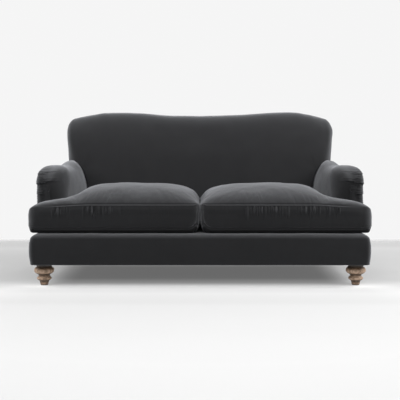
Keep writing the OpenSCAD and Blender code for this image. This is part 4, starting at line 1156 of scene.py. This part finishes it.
def random_creases(seed, box_zones, top_zones):
    g = np.random.default_rng(seed)
    box = []
    for a, b, n, amp in box_zones:
        for k in range(n):
            box.append((g.uniform(a, b), 1.9 * amp * g.uniform(0.5, 1.1) * MM, g.uniform(0.0021, 0.0036), g.uniform(0.040, 0.085), g.uniform(-0.04, 0.04)))
    top = []
    for a, b, n, amp in top_zones:
        for k in range(n):
            top.append((g.uniform(a, b), g.uniform(-0.450, -0.40), g.uniform(76, 106), g.uniform(0.04, 0.09), 0.8 * amp * g.uniform(0.5, 1.1) * MM, g.uniform(0.0032, 0.0056)))
    return {"box": box, "top": top}


def build_cushion(side, seed, creases):
    name = f"seat_cushion_{side}"
    o, pins, seams, _ = cushion(name, seed, creases)
    moved = simulate(o, pins, 2.4, 14, 0.006)
    print(name, "largest move", round(moved, 4))
    V = coords(o)
    st, sb = V[seams["top"]].copy(), V[seams["bottom"]].copy()
    subdivide(o, 1)
    # densify the seam lines to the finer mesh
    def dense(p):
        q = np.empty((len(p) * 3, 3))
        nx = np.roll(p, -1, 0)
        for k in range(3):
            q[k::3] = p + (nx - p) * k / 3
        return q
    st, sb = dense(st), dense(sb)
    finish_cushion(o, (st, sb), seed, creases)
    if side == "left":
        V = coords(o)
        V[:, 0] *= -1
        set_coords(o, V)
        o.data.flip_normals()
        st[:, 0] *= -1
        sb[:, 0] *= -1
    body = f"seat_cushion_{side}"
    dress(o, M_VELVET, body)
    # the panel underneath, inside the lower seam, takes a darker, dull copy of the velvet: painted shade of the gap
    # under the cushion
    o.data.materials.append(M_VELVET_UNDER_PAINTED_SHADE)
    mid = np.empty(len(o.data.polygons) * 3)
    o.data.polygons.foreach_get("center", mid)
    mid = mid.reshape(-1, 3)
    tree = KDTree(len(sb))
    for i, q in enumerate(sb):
        tree.insert(q, i)
    tree.balance()
    seam_z = np.array([tree.find(q)[0].z if q[2] < 0.34 else 0.0 for q in mid])
    o.data.polygons.foreach_set("material_index", (mid[:, 2] < seam_z - 0.0095).astype(np.int32))
    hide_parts(f"seat_cushion_cover_{side}", f"seat_core_{side}", f"ear_core_{side}")
    return o


left_creases = random_creases(31, [(0.64, 0.72, 9, 2.8), (0.42, 0.57, 17, 3.1), (0.25, 0.40, 4, 0.8), (0.05, 0.25, 3, 0.5)], [(0.50, 0.62, 4, 1.3), (0.25, 0.48, 5, 1.0), (0.62, 0.75, 3, 0.8)])
right_creases = random_creases(57, [(0.22, 0.70, 40, 2.9), (0.05, 0.22, 3, 0.7)], [(0.20, 0.50, 10, 1.2), (0.50, 0.64, 6, 1.3)])

# the base band takes the velvet copy with painted shade and a painted highlight
band_piece = dress(base_band(), M_VELVET_BASE_PAINTED_LIGHT, "frame")
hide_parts("base_cover", "base_padding")

arm_r = dress(arm("arm_right", 1), M_VELVET, "frame")
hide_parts("arm_cover_right", "arm_foam_right")
arm_l0 = arm("arm_left_blank", 5)
arm_l = mirrored(arm_l0, "arm_left")
bpy.data.objects.remove(arm_l0)
# the left arm takes the velvet copy with painted light
dress(arm_l, M_VELVET_LEFT_ARM_PAINTED_LIGHT, "frame")
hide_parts("arm_cover_left", "arm_foam_left")

side_r = dress(side_panel("outside_arm_right", 2), M_VELVET, "frame")
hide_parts("outside_arm_cover_right")
side_l0 = side_panel("outside_arm_blank", 6)
side_l = mirrored(side_l0, "outside_arm_left")
bpy.data.objects.remove(side_l0)
dress(side_l, M_VELVET, "frame")
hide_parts("outside_arm_cover_left")

back = dress(back_piece(), M_VELVET, "frame")
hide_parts("back_cover", "back_foam")
rear = dress(outside_back(), M_VELVET, "frame")
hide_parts("outside_back_cover")

build_cushion("left", 3, left_creases)
build_cushion("right", 4, right_creases)


# ------------------------------------------------------------------ seat deck under the cushions
def deck():
    """Padded platform: a velvet lip in front, a seam, and the platform panel behind it, hollowed a little by the springs."""
    def span(a, b, n):
        return np.linspace(a, b, n + 1)

    xs = np.unique(np.round(np.concatenate([-span(0.6385, 0.8030, 20), -span(0, 0.6385, 74), span(0, 0.6385, 74), span(0.6385, 0.8030, 20)]), 6))
    ys = np.unique(np.round(np.concatenate([span(-0.4440, -0.2845, 24), span(-0.2845, 0.1945, 56)]), 6))
    main = np.abs(xs) <= 0.6386
    front = ys <= -0.2844
    ok = main[:, None] | front[None, :]
    X, Y = np.meshgrid(xs, ys, indexing="ij")
    side = look(np.clip(Y, -0.2845, 1), XI) + 0.012
    X = np.sign(X) * np.where(np.abs(X) <= 0.6386, np.abs(X) * side / 0.6385, side + (np.abs(X) - 0.6385) * (0.8030 - side) / 0.1645)
    reach = np.where(Y <= -0.2844, 0.8030, side)
    e = np.minimum.reduce([reach - np.abs(X), Y + 0.4440, 0.1945 - Y])
    e = np.where((np.abs(X) > side + 0.0001) & (Y <= -0.2844), np.minimum(e, -0.2845 - Y), e)
    e = np.clip(e, 0, None)
    c = np.stack([X, Y, 0 * X], -1).reshape(-1, 3)
    rim = 0.0030 * (1 - np.sqrt(np.clip(1 - (1 - np.clip(e / 0.010, 0, 1)) ** 2, 0, 1)))
    seam = 0.0022 * np.exp(-(((Y + 0.352) / 0.0032) ** 2))
    top = 0.2652 - rim - seam - 0.0012 * smooth(0.03, 0.16, e) + (fbm(c * 9, 201, 3) * 0.0004 + noise(c * np.array([44.0, 12.0, 1.0]), 204) * 0.0003 * np.exp(-np.abs(Y + 0.352) / 0.03).ravel()).reshape(X.shape)
    low = np.full(X.shape, 0.2492)
    n, m = X.shape
    N = n * m
    A = np.stack([X, Y, top], -1).reshape(-1, 3)
    B = np.stack([X, Y, low], -1).reshape(-1, 3)
    cell = ok[:-1, :-1] & ok[1:, :-1] & ok[1:, 1:] & ok[:-1, 1:] & ~((~main[:-1, None] | ~main[1:, None]) & (~front[None, :-1] | ~front[None, 1:]))
    F = []
    for i in range(n - 1):
        for j in range(m - 1):
            if not cell[i, j]:
                continue
            q = [i * m + j, (i + 1) * m + j, (i + 1) * m + j + 1, i * m + j + 1]
            F.append(q)
            F.append([N + k for k in q[::-1]])
            for (a, b), (di, dj) in (((q[0], q[1]), (0, -1)), ((q[1], q[2]), (1, 0)), ((q[2], q[3]), (0, 1)), ((q[3], q[0]), (-1, 0))):
                ii, jj = i + di, j + dj
                if not (0 <= ii < n - 1 and 0 <= jj < m - 1 and cell[ii, jj]):
                    F.append([b, a, N + a, N + b])
    F = np.array(F)
    used = np.unique(F)
    back_to = -np.ones(2 * N, int)
    back_to[used] = np.arange(len(used))
    return mesh_from("seat_deck", np.concatenate([A, B])[used], back_to[F])


deck_piece = dress(deck(), M_VELVET, "frame")
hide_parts("deck_cover", "deck_pad")


# ------------------------------------------------------------------ dust cover and its staples
def dust_sheet():
    """Thin cloth pulled over the underside, cut round the legs, with a little slack between the rails."""
    x1, ya, yb = 0.8240, -0.4730, 0.3990
    fx, fy0, fy1 = 0.7410, -0.4300, -0.3500           # cut round a front leg
    rx0, ry0 = 0.7385, 0.3250                          # cut round a rear leg
    xs = np.unique(np.round(np.concatenate([-np.linspace(fx, x1, 7), [-rx0, rx0], np.linspace(-0.735, 0.735, 92), np.linspace(fx, x1, 7)]), 6))
    ys = np.unique(np.round(np.concatenate([np.linspace(ya, fy0, 4), np.linspace(fy0, fy1, 9), np.linspace(fy1, ry0, 52), np.linspace(ry0, yb, 8)]), 6))
    X, Y = np.meshgrid(xs, ys, indexing="ij")
    e = np.minimum.reduce([x1 - np.abs(X), Y - ya, yb - Y])
    half = np.abs(np.sin(np.pi * np.clip((np.abs(X) - 0.02) / 0.78, 0, 1)))
    sag = 0.0042 * half * np.sin(np.pi * np.clip((Y - ya) / (yb - ya), 0, 1)) ** 0.7
    c = np.stack([X, Y, 0 * X], -1).reshape(-1, 3)
    pull = noise(np.column_stack([c[:, 0] * 34, c[:, 1] * 34, c[:, 2]]), 221).reshape(X.shape) * 0.0007 * np.exp(-e / 0.03)
    slack = fbm(c * np.array([3.0, 6.0, 1.0]), 223, 3).reshape(X.shape) * 0.0010 * smooth(0.01, 0.08, e)
    Z = 0.1106 - sag - np.abs(pull) + slack * 0.8
    n, m = X.shape
    F = []
    for i in range(n - 1):
        for j in range(m - 1):
            mx, my = abs(xs[i] + xs[i + 1]) / 2, (ys[j] + ys[j + 1]) / 2
            if (mx > fx and fy0 < my < fy1) or (mx > rx0 and my > ry0):
                continue
            F.append([i * m + j, i * m + j + 1, (i + 1) * m + j + 1, (i + 1) * m + j])
    F = np.array(F)
    V = np.stack([X, Y, Z], -1).reshape(-1, 3)
    used = np.unique(F)
    back_to = -np.ones(n * m, int)
    back_to[used] = np.arange(len(used))
    area = 2 * x1 * (yb - ya) - 2 * (x1 - fx) * (fy1 - fy0) - 2 * (x1 - rx0) * (yb - ry0)
    o = mesh_from("dust_sheet", V[used], back_to[F])
    return o, 2 * x1, yb - ya, area, (x1, ya, yb, fx, fy0, fy1, rx0, ry0)


def boxes(name, items):
    """Small bevelled bars: (centre, half sizes, turn about Z)."""
    V, F = [], []
    k = 0
    for (cx, cy, cz), (hx, hy, hz), a in items:
        ca, sa = math.cos(a), math.sin(a)
        r = 0.35 * min(hx, hy, hz)
        ring = [(hx - r, hy), (hx, hy - r), (hx, -hy + r), (hx - r, -hy), (-hx + r, -hy), (-hx, -hy + r), (-hx, hy - r), (-hx + r, hy)]
        for z, g in ((-hz, r), (-hz + r, 0), (hz - r, 0), (hz, r)):
            for x, y in ring:
                x2, y2 = x * (1 - g / hx), y * (1 - g / hy)
                V.append((cx + x2 * ca - y2 * sa, cy + x2 * sa + y2 * ca, cz + z))
        for lev in range(3):
            for j in range(8):
                F.append([k + lev * 8 + j, k + lev * 8 + (j + 1) % 8, k + (lev + 1) * 8 + (j + 1) % 8, k + (lev + 1) * 8 + j])
        for lev in (0, 3):
            b = k + lev * 8
            F += [[b, b + 1, b + 2, b + 3], [b, b + 3, b + 4, b + 7], [b + 4, b + 5, b + 6, b + 7]]
        k += 32
    return mesh_from(name, V, F)


ds, flat_w, flat_l, flat_area, (dx1, dya, dyb, dfx, dfy0, dfy1, drx0, dry0) = dust_sheet()
ds.data.materials.clear()
dress(ds, M_DUST, "frame")
g5 = np.random.default_rng(77)
items = []


def run_of(ax, ay, bx_, by_):
    length = math.hypot(bx_ - ax, by_ - ay)
    cnt = max(2, int(length / 0.042))
    for k in range(cnt):
        t = (k + 0.5) / cnt
        a = math.atan2(by_ - ay, bx_ - ax) + g5.uniform(-0.12, 0.12)
        items.append(((lerp(ax, bx_, t) + g5.uniform(-0.0008, 0.0008), lerp(ay, by_, t) + g5.uniform(-0.0008, 0.0008), 0.1098), (0.0052, 0.00055, 0.00045), a))


inn = 0.007
for sx in (-1, 1):
    run_of(sx * (dx1 - inn), dfy1 + 0.01, sx * (dx1 - inn), dry0 - 0.01)
    run_of(sx * (dfx - inn), dfy0, sx * (dfx - inn), dfy1)
    run_of(sx * (drx0 - inn), dry0, sx * (drx0 - inn), dyb - inn)
run_of(-dx1 + 0.01, dya + inn, dx1 - 0.01, dya + inn)
run_of(-drx0 + 0.01, dyb - inn, drx0 - 0.01, dyb - inn)
staples = dress(boxes("dust_staples", items), M_STEEL, "frame")
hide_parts("dust_cover")

# ------------------------------------------------------------------ zips in the rear boxing
def plate(name, outer, y0, y1, r, hole=None):
    """A small bevelled plate in the XZ plane, with or without a hole."""
    outer = np.asarray(outer, float)
    n = len(outer)
    cen = outer.mean(0)
    inset = outer + (cen - outer) * np.minimum(1, r / np.maximum(np.linalg.norm(outer - cen, axis=1, keepdims=True), 1e-6))
    rings = [(inset, y0), (outer, y0 + r), (outer, y1 - r), (inset, y1)]
    V = np.concatenate([np.column_stack([q[:, 0], np.full(n, y), q[:, 1]]) for q, y in rings])
    F = [grid_faces(4, n, wrap_m=True)]
    if hole is None:
        for b in (0, 3 * n):
            F.append(np.array([[b + k, b + k + 1, b + n - 2 - k, b + n - 1 - k] for k in range(n // 2 - 1)]))
    else:
        hole = np.asarray(hole, float)
        V = np.concatenate([V] + [np.column_stack([hole[:, 0], np.full(n, y), hole[:, 1]]) for y in (y0, y1)])
        k = np.arange(n)
        k2 = (k + 1) % n
        F += [np.stack([k, k2, 4 * n + k2, 4 * n + k], -1), np.stack([3 * n + k, 3 * n + k2, 5 * n + k2, 5 * n + k], -1), np.stack([4 * n + k, 4 * n + k2, 5 * n + k2, 5 * n + k], -1)]
    return mesh_from(name, V, np.vstack(F))


def rounded(hx, hz, r, cx=0.0, cz=0.0, n=6):
    pts = []
    for sx, sz, a0 in ((1, 1, 0), (-1, 1, 90), (-1, -1, 180), (1, -1, 270)):
        for k in range(n):
            w = math.radians(a0 + 90 * k / (n - 1))
            pts.append((cx + sx * (hx - r) + r * math.cos(w), cz + sz * (hz - r) + r * math.sin(w)))
    return np.array(pts)


def joined(name, parts):
    V, F, k = [], [], 0
    for o in parts:
        v = coords(o)
        V.append(v)
        for q in o.data.polygons:
            F.append([k + i for i in q.vertices])
        k += len(v)
        bpy.data.objects.remove(o)
    me = bpy.data.meshes.new(name)
    me.from_pydata(np.concatenate(V).tolist(), [], F)
    me.polygons.foreach_set("use_smooth", np.ones(len(me.polygons), bool))
    out = bpy.data.objects.new(name, me)
    scene.collection.objects.link(out)
    return out


def build_zip(side):
    sg = -1 if side == "left" else 1
    body = f"seat_cushion_{side}"
    xs = np.linspace(0.105, 0.535, 130)
    zs = np.linspace(0.330, 0.354, 9)
    X, Z = np.meshgrid(xs, zs, indexing="ij")
    c = np.column_stack([X.ravel() * 40, Z.ravel() * 40, np.full(X.size, 3.0)])
    Y = 0.1046 + (noise(c, 301) * 0.00025).reshape(X.shape) + 0.0003 * np.exp(-(((Z - 0.342) / 0.002) ** 2))
    tape = mesh_from(f"zip_tape_piece_{side}", np.stack([sg * X, Y, Z], -1).reshape(-1, 3), grid_faces(len(xs), len(zs)))
    dress(tape, M_ZIP, body)
    items = []
    for k in range(160):
        x = 0.1085 + k * 0.00266
        items.append(((sg * x, 0.10535, 0.3429), (0.00062, 0.00045, 0.0017), 0.0))
        items.append(((sg * (x + 0.00133), 0.10535, 0.3411), (0.00062, 0.00045, 0.0017), 0.0))
    for x in (0.1068, 0.5355):
        items.append(((sg * x, 0.1054, 0.342), (0.0011, 0.0006, 0.0034), 0.0))
    teeth = dress(boxes(f"zip_teeth_{side}", items), M_NICKEL, body)
    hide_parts(f"zip_tape_{side}")
    # slider: wedge body, bridge and pull, hanging
    cx, cz = 0.320, 0.342
    wedge = rounded(0.0049, 0.0052, 0.0016, cx, cz)
    wedge[:, 1] = cz + (wedge[:, 1] - cz) * np.interp(wedge[:, 0], [cx - 0.005, cx + 0.005], [0.74, 1.0])
    low = plate("slider_low", wedge, 0.1059, 0.1069, 0.0003)
    top = plate("slider_top", wedge, 0.1074, 0.1084, 0.0004)
    post = plate("slider_post", rounded(0.0012, 0.0030, 0.0006, cx + 0.0028, cz), 0.1066, 0.1077, 0.0001)
    w = np.linspace(-80, 80, 13)
    bridge = tube("slider_bridge", [(cx + 0.0036 * math.sin(math.radians(a)), 0.1080 + 0.0018 * math.cos(math.radians(a)), cz) for a in w], 0.00055, 8)
    pull_out = rounded(0.0025, 0.0128, 0.0016, cx, cz - 0.0118)
    pull_out[:, 0] = cx + (pull_out[:, 0] - cx) * np.interp(pull_out[:, 1], [cz - 0.0246, cz + 0.001], [1.0, 0.80])
    pull = plate("slider_pull", pull_out, 0.1085, 0.1093, 0.0003, rounded(0.0012, 0.0030, 0.0010, cx, cz - 0.0030))
    o = joined(f"zip_puller_{side}", [low, top, post, bridge, pull])
    if sg < 0:
        V = coords(o)
        V[:, 0] *= -1
        set_coords(o, V)
        o.data.flip_normals()
    dress(o, M_NICKEL, f"zip_slider_{side}")
    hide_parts(f"zip_slider_{side}")


build_zip("left")
build_zip("right")

# ------------------------------------------------------------------ floor
fm, ft, fb = new_mat("floor_pale")
tc = add(ft, "ShaderNodeTexCoord")
sep = add(ft, "ShaderNodeSeparateXYZ", {"Vector": tc.outputs["Object"]})
dist = add(ft, "ShaderNodeVectorMath", {0: tc.outputs["Object"]}, operation="LENGTH")
# darker colour from just ahead of the sofa back to where the floor fades out: a painted shadow band under and around
# the sofa
ahead = add(ft, "ShaderNodeMapRange", {"Value": sep.outputs["Y"], "From Min": -0.36, "From Max": -0.47})
behind = add(ft, "ShaderNodeMapRange", {"Value": sep.outputs["Y"], "From Min": 1.45, "From Max": 1.62})
round_off = add(ft, "ShaderNodeMapRange", {"Value": dist.outputs["Value"], "From Min": 1.9, "From Max": 4.2})
clear = add(ft, "ShaderNodeMath", {0: behind.outputs[0], 1: round_off.outputs[0]}, operation="MAXIMUM").outputs[0]
fn = add(ft, "ShaderNodeTexNoise", {"Vector": tc.outputs["Object"], "Scale": 3.0, "Detail": 3.0})
painted_shadow_band_c = ramp(ft, fn.outputs[0], [(0.3, (0.40, 0.40, 0.40)), (0.7, (0.415, 0.415, 0.415))])
# ahead of the sofa the colour dips just in front of it, a painted soft shadow, and rises farther off to keep the floor
# evenly bright
run_y = add(ft, "ShaderNodeMapRange", {"Value": sep.outputs["Y"], "From Min": -0.4, "From Max": -3.4})
open_c = mix(ft, 0.04, ramp(ft, run_y.outputs[0], [(0.0, (0.43,) * 3), (0.07, (0.400,) * 3), (0.14, (0.425,) * 3), (0.18, (0.462,) * 3), (0.33, (0.468,) * 3), (0.60, (0.53,) * 3), (1.0, (0.57,) * 3)]), ramp(ft, fn.outputs[0], [(0.3, (0.46,) * 3), (0.7, (0.50,) * 3)]))
ft.links.new(ramp(ft, fn.outputs[0], [(0.3, (0.88, 0.88, 0.88)), (0.7, (0.92, 0.92, 0.92))]), fb.inputs["Roughness"])
mixn = ft.nodes.new("ShaderNodeMix")
mixn.data_type = "RGBA"
ft.links.new(ahead.outputs[0], mixn.inputs[0])
ft.links.new(painted_shadow_band_c, mixn.inputs[6])
ft.links.new(open_c, mixn.inputs[7])
ft.links.new(mixn.outputs[2], fb.inputs["Base Color"])
# the floor glows by position: painted light that lifts the shade under the sofa and brightens the edge of its shadow in
# front and beside it
fb.inputs["Emission Color"].default_value = (1, 1, 1, 1)
side_x = add(ft, "ShaderNodeMapRange", {"Value": add(ft, "ShaderNodeMath", {0: sep.outputs["X"]}, operation="ABSOLUTE").outputs[0], "From Min": 0.80, "From Max": 0.98})
glow_y = add(ft, "ShaderNodeMapRange", {"Value": sep.outputs["Y"], "From Min": 1.6, "From Max": -1.4})


def glow(stops):
    return ramp(ft, glow_y.outputs[0], [((1.6 - y) / 3.0, (v,) * 3) for y, v in stops])


painted_light_mid = glow([(1.6, .130), (-.18, .132), (-.26, .185), (-.325, .235), (-.385, .37), (-.443, .47), (-.50, .27), (-.555, .220), (-.64, .262), (-.74, .215), (-.86, .172), (-1.1, .170), (-1.4, .170)])
painted_light_side = glow([(1.6, .150), (1.20, .120), (1.06, .160), (.90, .142), (.476, .118), (.0, .098), (-.262, .108), (-.385, .236), (-.50, .265), (-.60, .285), (-.70, .255), (-.84, .172), (-1.1, .128), (-1.4, .115)])
painted_light_all = mix(ft, side_x.outputs[0], painted_light_mid, painted_light_side)
ft.links.new(painted_light_all, fb.inputs["Emission Strength"])
fb.inputs["Specular IOR Level"].default_value = 0.0
tr = add(ft, "ShaderNodeBsdfTransparent")
ms = add(ft, "ShaderNodeMixShader", {0: clear, 1: fb.outputs[0], 2: tr.outputs[0]})
ft.links.new(ms.outputs[0], [n for n in ft.nodes if n.type == "OUTPUT_MATERIAL"][0].inputs[0])
floor = mesh_from("floor", [[-9, -9, 0], [9, -9, 0], [9, 9, 0], [-9, 9, 0]], [[0, 1, 2, 3]])
floor.data.materials.append(fm)
